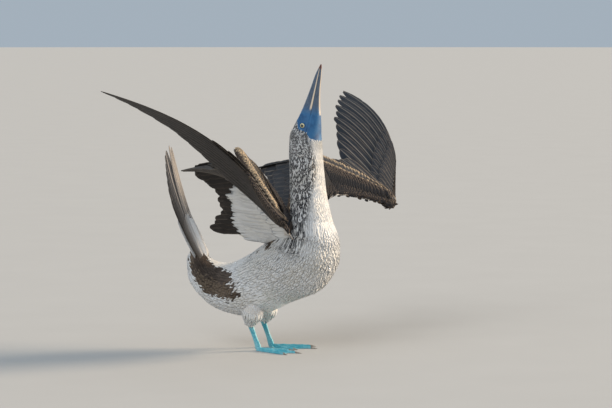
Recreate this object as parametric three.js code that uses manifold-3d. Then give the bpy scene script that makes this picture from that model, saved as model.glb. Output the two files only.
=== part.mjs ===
// Blue-footed booby, life size, standing with its bill to the sky, its tail cocked and its wings raised.
// Millimetres. X runs to the bird's front, Y to its left and Z up; the floor is at zero.
import * as THREE from "three";
import { mergeVertices } from "three/addons/utils/BufferGeometryUtils.js";
import Module from "manifold-3d";

// The clearance that touching pieces keep.
const GAP = 0.3;
const SEED = 11;

// Sections of trunk, neck, head and bill, from the root of the tail to the tip of the bill.
// Each one has the point on the back line (x, z), the point on the belly line (x, z) and the half width.
const TAIL_ROOT_SECTION = 1;
const NECK_BASE_SECTION = 9;
const HEAD_BASE_SECTION = 12;
const BILL_BASE_SECTION = 16;
const SECTIONS = [
  [-133, 181, -151, 164, 11],
  [-120, 168, -150, 130, 23],
  [-107, 158, -129, 93, 34],
  [-88, 153, -80, 64, 47],
  [-60, 157, -14, 59, 57],
  [-30, 171, 52, 85, 62],
  [0, 191, 106, 114, 63],
  [23, 208, 132, 155, 58],
  [38, 224, 134, 196, 48],
  [46, 248, 122, 236, 38],
  [46, 280, 113, 276, 33.5],
  [45, 318, 108, 316, 31.5],
  [44.5, 353, 105, 352, 29.5],
  [47, 381, 102, 377, 25.5],
  [54, 397, 102.5, 392, 20],
  [60.5, 408, 102.5, 404, 15.5],
  [65.5, 418, 102.3, 414, 12.8],
  [73, 434, 101.2, 431, 10.4],
  [84, 461, 101.6, 459, 7.4],
  [93, 485, 104, 484, 4.8],
  [99.6, 498, 104.6, 497.6, 2.6],
  [102.8, 503.6, 104.4, 503.6, 0.7],
];
const STEPS_PER_SECTION = 2;
const RING_POINTS = 22;
const ROUNDNESS = 2.2;

// Head.
const MOUTH_START = new THREE.Vector3(88.5, 0, 414);
const MOUTH_END = new THREE.Vector3(103.6, 0, 503);
const GAPE = new THREE.Vector3(84.5, 0, 380);
const EYE_X = 76;
const EYE_Z = 397;
const EYE_Y = 14.2;
const EYE_RADIUS = 6.4;
const LID_RADIUS = 5.6;
const LID_THICKNESS = 1.1;
const LID_OFFSET = 2.9;
const GROOVE = { width: 0.9, depth: 10, length: 36, side: 24.2 };

// Wings. The left one is held a little lower than the right one, which is given mirrored to the left side.
const SHOULDER = new THREE.Vector3(60, 46, 212);
const LEFT_WING = {
  elbow: new THREE.Vector3(25, 149, 326),
  wrist: new THREE.Vector3(141, 257, 247),
  tip: new THREE.Vector3(-59, 514, 442),
};
const RIGHT_WING = {
  elbow: new THREE.Vector3(25, 151, 338),
  wrist: new THREE.Vector3(145, 262, 250),
  tip: new THREE.Vector3(-69, 509, 470),
};
// Behind the line of the hand, and along the feathers at wrist, elbow and shoulder.
const HAND_CHORD = new THREE.Vector3(-0.772, -0.636, -0.022);
const OUTER_SECONDARY = new THREE.Vector3(-0.79, 0.11, 0.6);
const TERTIAL = new THREE.Vector3(-0.972, 0.02, -0.2);
const SCAPULAR = new THREE.Vector3(-0.985, 0.03, 0.01);
const HUMERUS_RADIUS = [21, 12];
const FOREARM_RADIUS = [10.5, 8.5];
const HAND_RADIUS = [9.5, 3];
const HAND_BONE_LENGTH = 96;
const HAND_ARCH = 33;
const HAND_EDGE = -24;
const HAND_FAN = THREE.MathUtils.degToRad(25);
const HAND_BOW = 22;
const HAND_SWEEP = 50;
const SKIN_FOLD_HALF = 2.2;
const VANE_THICKNESS = 0.7;
const SHINGLE_STEP = 1.5;
const LENGTH_VARIATION = 0.02;

// Tail.
const TAIL_ROOT = new THREE.Vector3(-127, 0, 160);
const TAIL_TIP = new THREE.Vector3(-195, 0, 357);
const TAIL_FAN = THREE.MathUtils.degToRad(6);
const TAIL_ROOT_HALF = 14;
const TAIL_ROOF = 0.42;

// Legs.
const LEG_Y = 28;
const HIP = new THREE.Vector3(-4, 36, 98);
const HEEL = new THREE.Vector3(-20, LEG_Y, 47);
const ANKLE = new THREE.Vector3(-5, LEG_Y, 8);
const THIGH_RADII = [44, 11];
const THIGH_SWELL = -3;
const THIGH_INSET = 5;
const SHANK_RADII = [5.2, 4.4];
const FOOT_TOP = ANKLE.z + 2;
const WEB_THICKNESS = 1.8;
const TOES = {
  outer: { angle: 27, length: 72, radius: 4.1, claw: 9 },
  middle: { angle: 5, length: 76, radius: 4.4, claw: 11 },
  inner: { angle: -19, length: 56, radius: 3.9, claw: 9 },
  hind: { angle: -54, length: 23, radius: 3.2, claw: 6 },
};

const COLOURS = {
  white: 0xe9e6df,
  streaked: 0x9b8a78,
  brown: 0x3d2f27,
  black_brown: 0x2a211d,
  bill: 0x7f95a8,
  skin: 0x3f6d94,
  iris: 0xd9cf8e,
  foot: 0x4fb6c9,
};

const wasm = await Module();
wasm.setup();
const { Manifold, Mesh } = wasm;

// A seeded random stream between -1 and 1.
function randomStream(seed) {
  let state = seed;
  return () => {
    state = (state * 1664525 + 1013904223) % 4294967296;
    return (state / 4294967296) * 2 - 1;
  };
}

function signedVolume(points, index) {
  let six = 0;
  for (let i = 0; i < index.length; i += 3) {
    const [a, b, c] = [points[index[i]], points[index[i + 1]], points[index[i + 2]]];
    six += a.dot(b.clone().cross(c));
  }
  return six / 6;
}

// A closed solid from points and triangles, turned so that its faces point out.
function solidOf(points, index) {
  const flip = signedVolume(points, index) < 0;
  const triVerts = new Uint32Array(index);
  for (let i = 0; flip && i < triVerts.length; i += 3) {
    [triVerts[i + 1], triVerts[i + 2]] = [triVerts[i + 2], triVerts[i + 1]];
  }
  const vertProperties = new Float32Array(points.flatMap((p) => [p.x, p.y, p.z]));
  return new Manifold(new Mesh({ numProp: 3, vertProperties, triVerts }));
}

function solidOfGeometry(geometry) {
  const bare = geometry.clone();
  bare.deleteAttribute("normal");
  bare.deleteAttribute("uv");
  const merged = mergeVertices(bare, 1e-4);
  const place = merged.getAttribute("position");
  const points = [];
  for (let i = 0; i < place.count; i++) {
    points.push(new THREE.Vector3().fromBufferAttribute(place, i));
  }
  return solidOf(points, [...merged.index.array]);
}

function geometryOf(solid) {
  const mesh = solid.getMesh();
  const geometry = new THREE.BufferGeometry();
  geometry.setAttribute("position", new THREE.BufferAttribute(mesh.vertProperties, 3));
  geometry.setIndex(new THREE.BufferAttribute(mesh.triVerts, 1));
  geometry.computeVertexNormals();
  return geometry;
}

function joined(solids) {
  return solids.reduce((whole, piece) => whole.add(piece));
}

function largestBody(solid) {
  return solid.decompose().reduce((best, body) => (body.volume() > best.volume() ? body : best));
}

// A skin over rings of equal length, with a fan of triangles over each end.
function loft(rings) {
  const count = rings[0].length;
  const points = rings.flat();
  const index = [];
  for (let r = 0; r + 1 < rings.length; r++) {
    for (let i = 0; i < count; i++) {
      const next = (i + 1) % count;
      const [a, b] = [r * count + i, r * count + next];
      const [c, d] = [a + count, b + count];
      index.push(a, b, d, a, d, c);
    }
  }
  const ends = [
    [0, false],
    [rings.length - 1, true],
  ];
  for (const [r, last] of ends) {
    const centre = new THREE.Vector3();
    rings[r].forEach((p) => centre.addScaledVector(p, 1 / count));
    const hub = points.push(centre) - 1;
    for (let i = 0; i < count; i++) {
      const [a, b] = [r * count + i, r * count + ((i + 1) % count)];
      index.push(...(last ? [hub, a, b] : [hub, b, a]));
    }
  }
  return solidOf(points, index);
}

// A round or oval limb along a line, with a radius at each end that swells a little between them.
function limb(from, to, radii, { sides = 10, steps = 4, swell = 0, flatten = 1, flatAxis = null } = {}) {
  const along = to.clone().sub(from).normalize();
  const side = (flatAxis ?? new THREE.Vector3(0, 1, 0)).clone();
  side.addScaledVector(along, -side.dot(along)).normalize();
  const other = along.clone().cross(side);
  const rings = [];
  for (let s = 0; s <= steps; s++) {
    const t = s / steps;
    const radius = THREE.MathUtils.lerp(radii[0], radii[1], t) + swell * Math.sin(Math.PI * t);
    const centre = from.clone().lerp(to, t);
    const ring = [];
    for (let i = 0; i < sides; i++) {
      const angle = (2 * Math.PI * i) / sides;
      const p = centre.clone().addScaledVector(side, radius * flatten * Math.cos(angle));
      ring.push(p.addScaledVector(other, radius * Math.sin(angle)));
    }
    rings.push(ring);
  }
  return loft(rings);
}

// The half of space on the side that the normal points to, as a box large enough for the bird.
function halfSpace(point, normal, clearance = 0) {
  const size = 1600;
  const box = new THREE.BoxGeometry(size, size, size);
  const unit = normal.clone().normalize();
  const turn = new THREE.Quaternion().setFromUnitVectors(new THREE.Vector3(0, 0, 1), unit);
  const centre = point.clone().addScaledVector(unit, size / 2 + clearance);
  box.applyMatrix4(new THREE.Matrix4().compose(centre, turn, new THREE.Vector3(1, 1, 1)));
  return solidOfGeometry(box);
}

function mirrored(solid) {
  const mesh = solid.getMesh();
  const points = [];
  for (let i = 0; i < mesh.vertProperties.length; i += 3) {
    const [x, y, z] = mesh.vertProperties.subarray(i, i + 3);
    points.push(new THREE.Vector3(x, -y, z));
  }
  return solidOf(points, [...mesh.triVerts]);
}

// Trunk, neck, head and bill as one skin, grown by a clearance where asked.
const backCurve = new THREE.CatmullRomCurve3(SECTIONS.map(([x, z]) => new THREE.Vector3(x, 0, z)));
const bellyCurve = new THREE.CatmullRomCurve3(SECTIONS.map((s) => new THREE.Vector3(s[2], 0, s[3])));
const widthCurve = new THREE.CatmullRomCurve3(SECTIONS.map((s, i) => new THREE.Vector3(s[4], i * 20, 0)));

function sectionAt(position) {
  const t = position / (SECTIONS.length - 1);
  const back = backCurve.getPoint(t);
  const belly = bellyCurve.getPoint(t);
  return { back, belly, half: widthCurve.getPoint(t).x };
}

function sectionRing(position, grow) {
  const { back, belly, half } = sectionAt(position);
  const centre = back.clone().lerp(belly, 0.5);
  const arm = back.clone().sub(centre);
  arm.setLength(arm.length() + grow);
  const ring = [];
  for (let i = 0; i < RING_POINTS; i++) {
    const angle = (2 * Math.PI * i) / RING_POINTS;
    const [c, s] = [Math.cos(angle), Math.sin(angle)];
    const reach = (Math.abs(c) ** ROUNDNESS + Math.abs(s) ** ROUNDNESS) ** (-1 / ROUNDNESS);
    const p = centre.clone().addScaledVector(arm, c * reach);
    p.y = (half + grow) * s * reach;
    ring.push(p);
  }
  return ring;
}

function bodySkin(grow = 0) {
  const rings = [];
  const last = (SECTIONS.length - 1) * STEPS_PER_SECTION;
  for (let i = 0; i <= last; i++) {
    rings.push(sectionRing(i / STEPS_PER_SECTION, grow));
  }
  return loft(rings);
}

// The plane of one section, pointing towards the head.
function sectionPlane(index) {
  const { back, belly } = sectionAt(index);
  const before = sectionAt(index - 0.5);
  const after = sectionAt(index + 0.5);
  const ahead = after.back.clone().add(after.belly).sub(before.back).sub(before.belly);
  const across = back.clone().sub(belly).normalize();
  const normal = ahead.addScaledVector(across, -ahead.dot(across)).normalize();
  return { point: back.clone().lerp(belly, 0.5), normal };
}

function between(skin, lower, upper) {
  const low = sectionPlane(lower);
  const high = sectionPlane(upper);
  return skin
    .intersect(halfSpace(low.point, low.normal, GAP / 2))
    .intersect(halfSpace(high.point, high.normal.clone().negate(), GAP / 2));
}

const wholeSkin = bodySkin();
const grownSkin = bodySkin(GAP);

function eyeBall(radius) {
  const ball = new THREE.IcosahedronGeometry(radius, 1);
  ball.translate(EYE_X, EYE_Y, EYE_Z);
  return solidOfGeometry(ball);
}

function lidRing() {
  const ring = new THREE.TorusGeometry(LID_RADIUS, LID_THICKNESS, 5, 12);
  ring.rotateX(Math.PI / 2);
  ring.translate(EYE_X, EYE_Y + LID_OFFSET, EYE_Z);
  return solidOfGeometry(ring);
}

// The line of the mouth on the face, from the base of the bill to the gape, as a thin wedge on one side.
function gapeGroove() {
  const groove = new THREE.BoxGeometry(GROOVE.width, GROOVE.depth, GROOVE.length);
  const along = MOUTH_START.clone().sub(GAPE);
  groove.rotateY(Math.atan2(along.x, along.z));
  groove.translate((GAPE.x + MOUTH_START.x) / 2, GROOVE.side, (GAPE.z + MOUTH_START.z) / 2);
  return solidOfGeometry(groove);
}

function head() {
  const flesh = between(wholeSkin, HEAD_BASE_SECTION, BILL_BASE_SECTION);
  const sockets = joined([eyeBall(EYE_RADIUS + GAP), mirrored(eyeBall(EYE_RADIUS + GAP))]);
  const grooves = joined([gapeGroove(), mirrored(gapeGroove())]);
  const lids = joined([lidRing(), mirrored(lidRing())]);
  return flesh.add(lids).subtract(grooves).subtract(sockets);
}

// The two halves of the bill, parted along the line of the mouth.
function billHalf(upper) {
  const base = sectionPlane(BILL_BASE_SECTION);
  const bill = wholeSkin.intersect(halfSpace(base.point, base.normal, GAP / 2));
  const along = MOUTH_END.clone().sub(MOUTH_START).normalize();
  const towardsBack = new THREE.Vector3(-along.z, 0, along.x);
  return bill.intersect(halfSpace(MOUTH_START, upper ? towardsBack : towardsBack.negate(), GAP / 2));
}

// A feathered sheet: a point for each place along the row of roots and each distance along the feathers.
// The bend lifts the sheet to its upper side. All feathers of a sheet share its grid of distances.
function sheetOf({ flatAt, bend, grid, face = 1 }) {
  const normalAt = (a, b) => {
    const across = flatAt(a + 0.002, b).sub(flatAt(a - 0.002, b));
    const along = flatAt(a, b + 1).sub(flatAt(a, b - 1));
    return along.cross(across).normalize().multiplyScalar(face);
  };
  const pointAt = (a, b, rise) => {
    const flat = flatAt(a, b);
    return flat.clone().addScaledVector(normalAt(a, b), bend(b, flat) + rise);
  };
  const spacing = (a, b) => flatAt(a + 0.005, b).distanceTo(flatAt(a - 0.005, b)) / 0.01;
  return { pointAt, spacing, grid };
}

// One vane: a thin strip on its sheet, tilted so that each one lies over the next along the row.
function vane(sheet, { place, pitch, start, length, width, rise, lean, tip = 0.18, tilt = 1 }) {
  const ends = [start, start + 0.9 * (length - start), length];
  const stops = [ends[0]];
  for (let b = sheet.grid; b < ends[1] - 0.3 * sheet.grid; b += sheet.grid) {
    if (b > start + 0.3 * sheet.grid) stops.push(b);
  }
  stops.push(ends[1], ends[2]);
  const rings = stops.map((b) => {
    const t = (b - start) / (length - start);
    const share = t < 0.9 ? Math.min(0.45 + 1.5 * t, 1) - 0.25 * t ** 3 : t < 0.95 ? 0.72 : tip;
    const half = (0.5 * width * share) / sheet.spacing(place, b);
    const corner = (side, top) => {
      const shift = side * half + lean * half;
      const roll = (-tilt * SHINGLE_STEP * shift) / pitch;
      return sheet.pointAt(place + shift, b, rise + roll + (top ? 0.5 : -0.5) * VANE_THICKNESS);
    };
    return [corner(-1, true), corner(1, true), corner(1, false), corner(-1, false)];
  });
  return vaneSolid(rings);
}

// The four sided strip of a vane, with its upper and lower faces split along the same diagonals.
function vaneSolid(rings) {
  const points = rings.flat();
  const index = [0, 2, 1, 0, 3, 2];
  const quad = (a, b, c, d) => index.push(a, b, c, a, c, d);
  for (let r = 0; r + 1 < rings.length; r++) {
    const [p, q] = [4 * r, 4 * r + 4];
    quad(p, p + 1, q + 1, q);
    index.push(p + 3, q + 3, q + 2, p + 3, q + 2, p + 2);
    quad(p + 1, p + 2, q + 2, q + 1);
    quad(p + 3, p, q, q + 3);
  }
  const e = 4 * (rings.length - 1);
  index.push(e, e + 1, e + 2, e, e + 2, e + 3);
  return solidOf(points, index);
}

// A row of vanes with sizes that run from the first to the last, each varied a little.
function vaneRow(sheet, { count, from, to, start, lengths, widths, rise, lean = 0, tip, tilt, seed }) {
  const random = randomStream(seed);
  const pitch = (to - from) / (count - 1);
  const row = [];
  for (let i = 0; i < count; i++) {
    const t = i / (count - 1);
    row.push(
      vane(sheet, {
        place: from + pitch * i,
        pitch,
        start,
        length: lengths(t) * (1 + LENGTH_VARIATION * random()),
        width: widths(t),
        rise,
        lean,
        tip,
        tilt,
      }),
    );
  }
  return row;
}

function turned(from, to, t) {
  const axis = from.clone().cross(to).normalize();
  return from.clone().applyAxisAngle(axis, from.angleTo(to) * t);
}

// The plane that parts two lengths of the wing, holding the feather direction that they share.
function jointPlane(point, shared, outer, inner) {
  const flat = (v) => v.clone().addScaledVector(shared, -v.dot(shared)).normalize();
  return { point, normal: flat(outer).sub(flat(inner)).normalize() };
}

// A wing in its three lengths, on the left side.
function wing({ elbow, wrist, tip }) {
  const upperDir = elbow.clone().sub(SHOULDER).normalize();
  const foreDir = wrist.clone().sub(elbow).normalize();
  const handDir = tip.clone().sub(wrist).normalize();
  const handLength = tip.distanceTo(wrist);
  const chordDir = HAND_CHORD.clone().addScaledVector(handDir, -HAND_CHORD.dot(handDir)).normalize();
  const innerPrimary = handDir.clone().multiplyScalar(Math.cos(HAND_FAN));
  innerPrimary.addScaledVector(chordDir, Math.sin(HAND_FAN)).normalize();
  const outerSecondary = OUTER_SECONDARY.clone().normalize();
  const tertialDir = TERTIAL.clone().normalize();
  const scapularDir = SCAPULAR.clone().normalize();

  const wristShared = innerPrimary.clone().add(outerSecondary).normalize();
  const wristPlane = jointPlane(wrist, wristShared, handDir, foreDir.clone().negate());
  const elbowPlane = jointPlane(elbow, tertialDir, foreDir, upperDir.clone().negate());

  // Hand: ten primaries whose shafts fan from the wrist to the leading edge and curve back at their tips.
  // Places on it are measured along the line from wrist to wing tip, and behind that line.
  const handUp = handDir.clone().cross(chordDir);
  const handArch = (u) => HAND_ARCH * Math.sin(Math.PI * Math.min(Math.max(u / handLength, 0), 1));
  const handPoint = (u, v, rise = 0) =>
    wrist.clone().addScaledVector(handDir, u).addScaledVector(chordDir, v).addScaledVector(handUp, rise);

  const handSheet = sheetOf({
    grid: 44,
    flatAt: (a, b) => {
      const reach = THREE.MathUtils.lerp(292, 150, a);
      const s = b / reach;
      const u = THREE.MathUtils.lerp(HAND_BONE_LENGTH, 2, a) + b * Math.cos(a * HAND_FAN);
      const v = THREE.MathUtils.lerp(HAND_EDGE, 9, a) + b * Math.sin(a * HAND_FAN);
      const sweep = THREE.MathUtils.lerp(HAND_SWEEP, 8, a) * s * s - THREE.MathUtils.lerp(HAND_BOW, 4, a) * s;
      return handPoint(u, v + sweep);
    },
    bend: (b, flat) => handArch(flat.clone().sub(wrist).dot(handDir)),
  });

  function wingHand() {
    const bone = limb(
      handPoint(-14, 12, 0),
      handPoint(HAND_BONE_LENGTH + 14, HAND_EDGE - 2, handArch(HAND_BONE_LENGTH + 14)),
      HAND_RADIUS,
      { flatten: 1.4, flatAxis: chordDir, steps: 5 },
    );
    const primaries = vaneRow(handSheet, {
      count: 10,
      from: 0,
      to: 1,
      start: -7,
      lengths: (t) => THREE.MathUtils.lerp(296, 150, t ** 0.9),
      widths: (t) => THREE.MathUtils.lerp(24, 34, t),
      rise: 0,
      lean: 0.3,
      seed: SEED,
    });
    const coverts = vaneRow(handSheet, {
      count: 8,
      from: 0.04,
      to: 1.02,
      start: -6,
      lengths: (t) => THREE.MathUtils.lerp(104, 62, t),
      widths: (t) => THREE.MathUtils.lerp(18, 26, t),
      rise: 3.4,
      lean: 0.2,
      seed: SEED + 1,
    });
    const whole = joined([bone, ...primaries, ...coverts]);
    return largestBody(whole.intersect(halfSpace(wristPlane.point, wristPlane.normal, GAP / 2)));
  }

  // Forearm: secondaries that turn from the wrist to the elbow, coverts over them and the skin fold.
  const foreSheet = sheetOf({
    grid: 36,
    flatAt: (a, b) => wrist.clone().lerp(elbow, a).addScaledVector(turned(outerSecondary, tertialDir, a), b),
    bend: (b) => 9 * Math.sin(Math.min(Math.max(b, 0) / 150, 1.2) * Math.PI * 0.8),
  });

  function skinFold() {
    const rings = [];
    const steps = 7;
    const across = 5;
    for (let i = 0; i <= steps; i++) {
      const t = i / steps;
      const reach = 0.97 - 0.34 * Math.sin(Math.PI * Math.min(t * 1.1, 1)) ** 0.8;
      const upper = elbow.clone().lerp(SHOULDER, reach);
      const fore = elbow.clone().lerp(wrist, reach);
      const edge = upper.lerp(fore, t);
      const inner = elbow.clone().lerp(edge, 0.12);
      const normal = foreDir.clone().cross(upperDir).normalize();
      const line = [];
      for (let k = 0; k <= across; k++) {
        const s = k / across;
        const rise = 7 * Math.sin(Math.PI * s) * Math.sin(Math.PI * t);
        line.push(inner.clone().lerp(edge, s).addScaledVector(normal, rise));
      }
      const top = line.map((p) => p.clone().addScaledVector(normal, SKIN_FOLD_HALF));
      const bottom = line.map((p) => p.clone().addScaledVector(normal, -SKIN_FOLD_HALF)).reverse();
      rings.push([...top, ...bottom]);
    }
    return loft(rings);
  }

  function wingFore() {
    const bone = limb(
      elbow.clone().addScaledVector(foreDir, -16),
      wrist.clone().addScaledVector(foreDir, 4),
      FOREARM_RADIUS,
      { flatten: 1.3, flatAxis: turned(outerSecondary, tertialDir, 0.5), steps: 5, swell: 1.5 },
    );
    const secondaries = vaneRow(foreSheet, {
      count: 10,
      from: 0.02,
      to: 1.0,
      start: -7,
      lengths: (t) => 136 - 20 * Math.abs(t - 0.4),
      widths: () => 30,
      rise: 0,
      lean: 0.25,
      tip: 0.4,
      seed: SEED + 2,
    });
    const coverts = vaneRow(foreSheet, {
      count: 9,
      from: 0.04,
      to: 0.98,
      start: -5,
      lengths: () => 66,
      widths: () => 28,
      rise: 4.6,
      lean: 0.2,
      tip: 0.5,
      seed: SEED + 3,
    });
    const whole = joined([bone, skinFold(), ...secondaries, ...coverts]);
    return largestBody(
      whole
        .intersect(halfSpace(wristPlane.point, wristPlane.normal.clone().negate(), GAP / 2))
        .intersect(halfSpace(elbowPlane.point, elbowPlane.normal, GAP / 2))
        .subtract(grownSkin),
    );
  }

  // Upper arm: the long inner feathers that point back from shoulder and elbow.
  const upperSheet = sheetOf({
    grid: 40,
    flatAt: (a, b) => elbow.clone().lerp(SHOULDER, a).addScaledVector(turned(tertialDir, scapularDir, a), b),
    bend: (b) => 6 * Math.sin(Math.min(Math.max(b, 0) / 150, 1.2) * Math.PI * 0.8),
  });

  function wingUpper() {
    const bone = limb(
      SHOULDER.clone().addScaledVector(upperDir, -10),
      elbow.clone().addScaledVector(upperDir, 12),
      HUMERUS_RADIUS,
      { flatten: 1.25, flatAxis: tertialDir, steps: 5 },
    );
    const inner = vaneRow(upperSheet, {
      count: 9,
      from: 0.0,
      to: 1.0,
      start: -8,
      lengths: (t) => THREE.MathUtils.lerp(108, 158, t * t) - 26 * Math.sin(Math.PI * t),
      widths: () => 32,
      rise: 0,
      lean: 0.1,
      tip: 0.4,
      seed: SEED + 4,
    });
    const upperCoverts = vaneRow(upperSheet, {
      count: 8,
      from: 0.02,
      to: 0.96,
      start: -6,
      lengths: () => 74,
      widths: () => 30,
      rise: 4.6,
      lean: 0.1,
      tip: 0.5,
      seed: SEED + 5,
    });
    const axillaries = vaneRow(upperSheet, {
      count: 8,
      from: 0.04,
      to: 1.0,
      start: -6,
      lengths: (t) => 84 + 14 * Math.sin(Math.PI * t),
      widths: () => 30,
      rise: -4.6,
      lean: 0.1,
      tip: 0.5,
      seed: SEED + 6,
    });
    const whole = joined([bone, ...inner, ...upperCoverts, ...axillaries]);
    return largestBody(
      whole
        .intersect(halfSpace(elbowPlane.point, elbowPlane.normal.clone().negate(), GAP / 2))
        .subtract(grownSkin),
    );
  }

  return { upper: wingUpper(), fore: wingFore(), hand: wingHand() };
}

// Tail: a wedge of feathers, roofed, with the middle pair on top.
const tailDir = TAIL_TIP.clone().sub(TAIL_ROOT).normalize();
const tailUp = new THREE.Vector3(0, 1, 0).cross(tailDir).normalize();
const tailLength = TAIL_TIP.distanceTo(TAIL_ROOT);

function tailSheet(side) {
  const out = side === 0 ? 1 : side;
  const roof = side === 0 ? 0 : TAIL_ROOF;
  const spread = new THREE.Vector3(0, out, 0).addScaledVector(tailUp, -roof).normalize();
  return sheetOf({
    grid: 60,
    face: -out,
    flatAt: (a, b) => {
      const root = TAIL_ROOT.clone().addScaledVector(spread, TAIL_ROOT_HALF * a);
      return root.addScaledVector(tailDir, b).addScaledVector(spread, b * Math.tan(TAIL_FAN) * a);
    },
    bend: (b) => 4 - 7 * Math.sin((Math.max(b, 0) / tailLength) * Math.PI),
  });
}

// The rows of one half of the tail, or with no side the middle pair that lies over both.
function tailRows(side) {
  const middle = side === 0;
  const sheet = tailSheet(side);
  const lengths = (t) => tailLength * (middle ? 1 - 0.02 * t : 0.97 - 0.41 * t ** 1.3);
  const feathers = { count: middle ? 2 : 5, lengths, rise: middle ? 4.5 : 0 };
  const upperCoverts = { count: middle ? 2 : 3, lengths: (t) => 84 - 16 * t, rise: middle ? 9 : 4.5 };
  const lowerCoverts = { count: 3, lengths: (t) => 92 - 16 * t, rise: -4.5 };
  const rows = middle ? [feathers, upperCoverts] : [feathers, upperCoverts, lowerCoverts];
  const [from, to] = middle ? [-0.12, 0.12] : [0.3, 1];
  const widths = (t) => (middle ? 20 : 21 - 5 * t);
  return rows.flatMap((row, i) =>
    vaneRow(sheet, { from, to, ...row, widths, start: -8, tilt: -1, tip: 0.16, seed: SEED + 7 + i }),
  );
}

function tail() {
  const plane = sectionPlane(TAIL_ROOT_SECTION);
  const root = limb(
    TAIL_ROOT.clone().addScaledVector(tailDir, -24),
    TAIL_ROOT.clone().addScaledVector(tailDir, 30),
    [22, 9],
    { sides: 12, steps: 2 },
  );
  const whole = joined([root, ...tailRows(1), ...tailRows(-1), ...tailRows(0)]);
  return largestBody(whole.intersect(halfSpace(plane.point, plane.normal.clone().negate(), GAP / 2)));
}

// Legs, left side.
function thighCone(grow, inset) {
  const end = HEEL.clone().addScaledVector(HIP.clone().sub(HEEL).normalize(), inset);
  const radii = THIGH_RADII.map((radius) => radius + grow);
  return limb(HIP, end, radii, { sides: 14, steps: 5, swell: THIGH_SWELL });
}

function thigh() {
  return largestBody(thighCone(0, THIGH_INSET).subtract(grownSkin));
}

const shankDir = ANKLE.clone().sub(HEEL).normalize();

function shank() {
  const top = HEEL.clone().addScaledVector(shankDir, -14);
  const bone = limb(top, ANKLE.clone().addScaledVector(shankDir, 6), SHANK_RADII, {
    sides: 10,
    flatten: 0.8,
    steps: 4,
    swell: -0.6,
  });
  const aboveFoot = halfSpace(new THREE.Vector3(0, 0, FOOT_TOP), new THREE.Vector3(0, 0, 1), GAP);
  return largestBody(bone.subtract(thighCone(GAP, THIGH_INSET - GAP)).intersect(aboveFoot));
}

function toeDirection(angle) {
  const turn = THREE.MathUtils.degToRad(angle);
  return new THREE.Vector3(Math.cos(turn), Math.sin(turn), 0);
}

// A toe or claw that lies on the floor: a ridge with a flat sole.
function floorRidge(from, direction, stops) {
  const side = new THREE.Vector3(-direction.y, direction.x, 0);
  const rings = stops.map(([distance, half, height, lift = 0]) => {
    const centre = from.clone().addScaledVector(direction, distance);
    const ring = [];
    const arcs = 4;
    for (let i = 0; i <= arcs; i++) {
      const angle = (Math.PI * i) / arcs;
      const p = centre.clone().addScaledVector(side, half * Math.cos(angle));
      p.z = lift + height * Math.sin(angle);
      ring.push(p);
    }
    return ring;
  });
  return loft(rings);
}

function toe({ angle, length, radius, claw: reach }) {
  const root = new THREE.Vector3(ANKLE.x, LEG_Y, 0);
  const direction = toeDirection(angle);
  const joints = [0, 0.3, 0.5, 0.68, 0.84, 1];
  const stops = joints.map((t, i) => {
    const knuckle = i % 2 === 0 ? 1.12 : 0.92;
    const half = radius * knuckle * (1 - 0.38 * t);
    return [t * length, half, 1.5 * half];
  });
  const flesh = floorRidge(root, direction, stops);
  const claw = floorRidge(root, direction, [
    [length - 4, 1.7, 3.4],
    [length + reach * 0.5, 1.3, 2.5],
    [length + reach, 0.35, 0.7],
  ]);
  return joined([flesh, claw]);
}

// The web: straight out to each toe tip, hollowed a little between them.
function web() {
  const root = new THREE.Vector2(ANKLE.x, LEG_Y);
  const tipOf = ({ angle, length }) => {
    const d = toeDirection(angle);
    return new THREE.Vector2(d.x, d.y).multiplyScalar(length - 3).add(root);
  };
  const order = [TOES.outer, TOES.middle, TOES.inner, TOES.hind];
  const tips = order.map(tipOf);
  const shape = new THREE.Shape();
  const heelSide = new THREE.Vector2(-4, 3).add(root);
  shape.moveTo(heelSide.x, heelSide.y);
  shape.lineTo(tips[0].x, tips[0].y);
  for (let i = 0; i + 1 < tips.length; i++) {
    const middle = tips[i].clone().add(tips[i + 1]).multiplyScalar(0.5);
    const pull = middle.clone().sub(root).multiplyScalar(i === 2 ? 0.62 : 0.82).add(root);
    shape.quadraticCurveTo(pull.x, pull.y, tips[i + 1].x, tips[i + 1].y);
  }
  shape.lineTo(root.x - 4, root.y - 3);
  const plate = new THREE.ExtrudeGeometry(shape, {
    depth: WEB_THICKNESS,
    bevelEnabled: false,
    curveSegments: 5,
  });
  return solidOfGeometry(plate);
}

function foot() {
  const hub = limb(
    new THREE.Vector3(ANKLE.x - 5, LEG_Y, 4),
    new THREE.Vector3(ANKLE.x + 1, LEG_Y, ANKLE.z + 8),
    [8, 4.6],
    { sides: 8, steps: 2 },
  );
  const whole = joined([web(), hub, ...Object.values(TOES).map(toe)]);
  return largestBody(
    whole
      .intersect(halfSpace(new THREE.Vector3(), new THREE.Vector3(0, 0, 1)))
      .intersect(halfSpace(new THREE.Vector3(0, 0, FOOT_TOP), new THREE.Vector3(0, 0, -1))),
  );
}

// Assembly.
const bird = new THREE.Group();

function addPiece(name, solid, colour, roughness = 0.8) {
  const material = new THREE.MeshStandardMaterial({ color: colour, roughness, metalness: 0 });
  const mesh = new THREE.Mesh(geometryOf(solid), material);
  mesh.name = name;
  bird.add(mesh);
}

function addPair(name, solid, colour, roughness) {
  addPiece(name + "_l", solid, colour, roughness);
  addPiece(name + "_r", mirrored(solid), colour, roughness);
}

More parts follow.
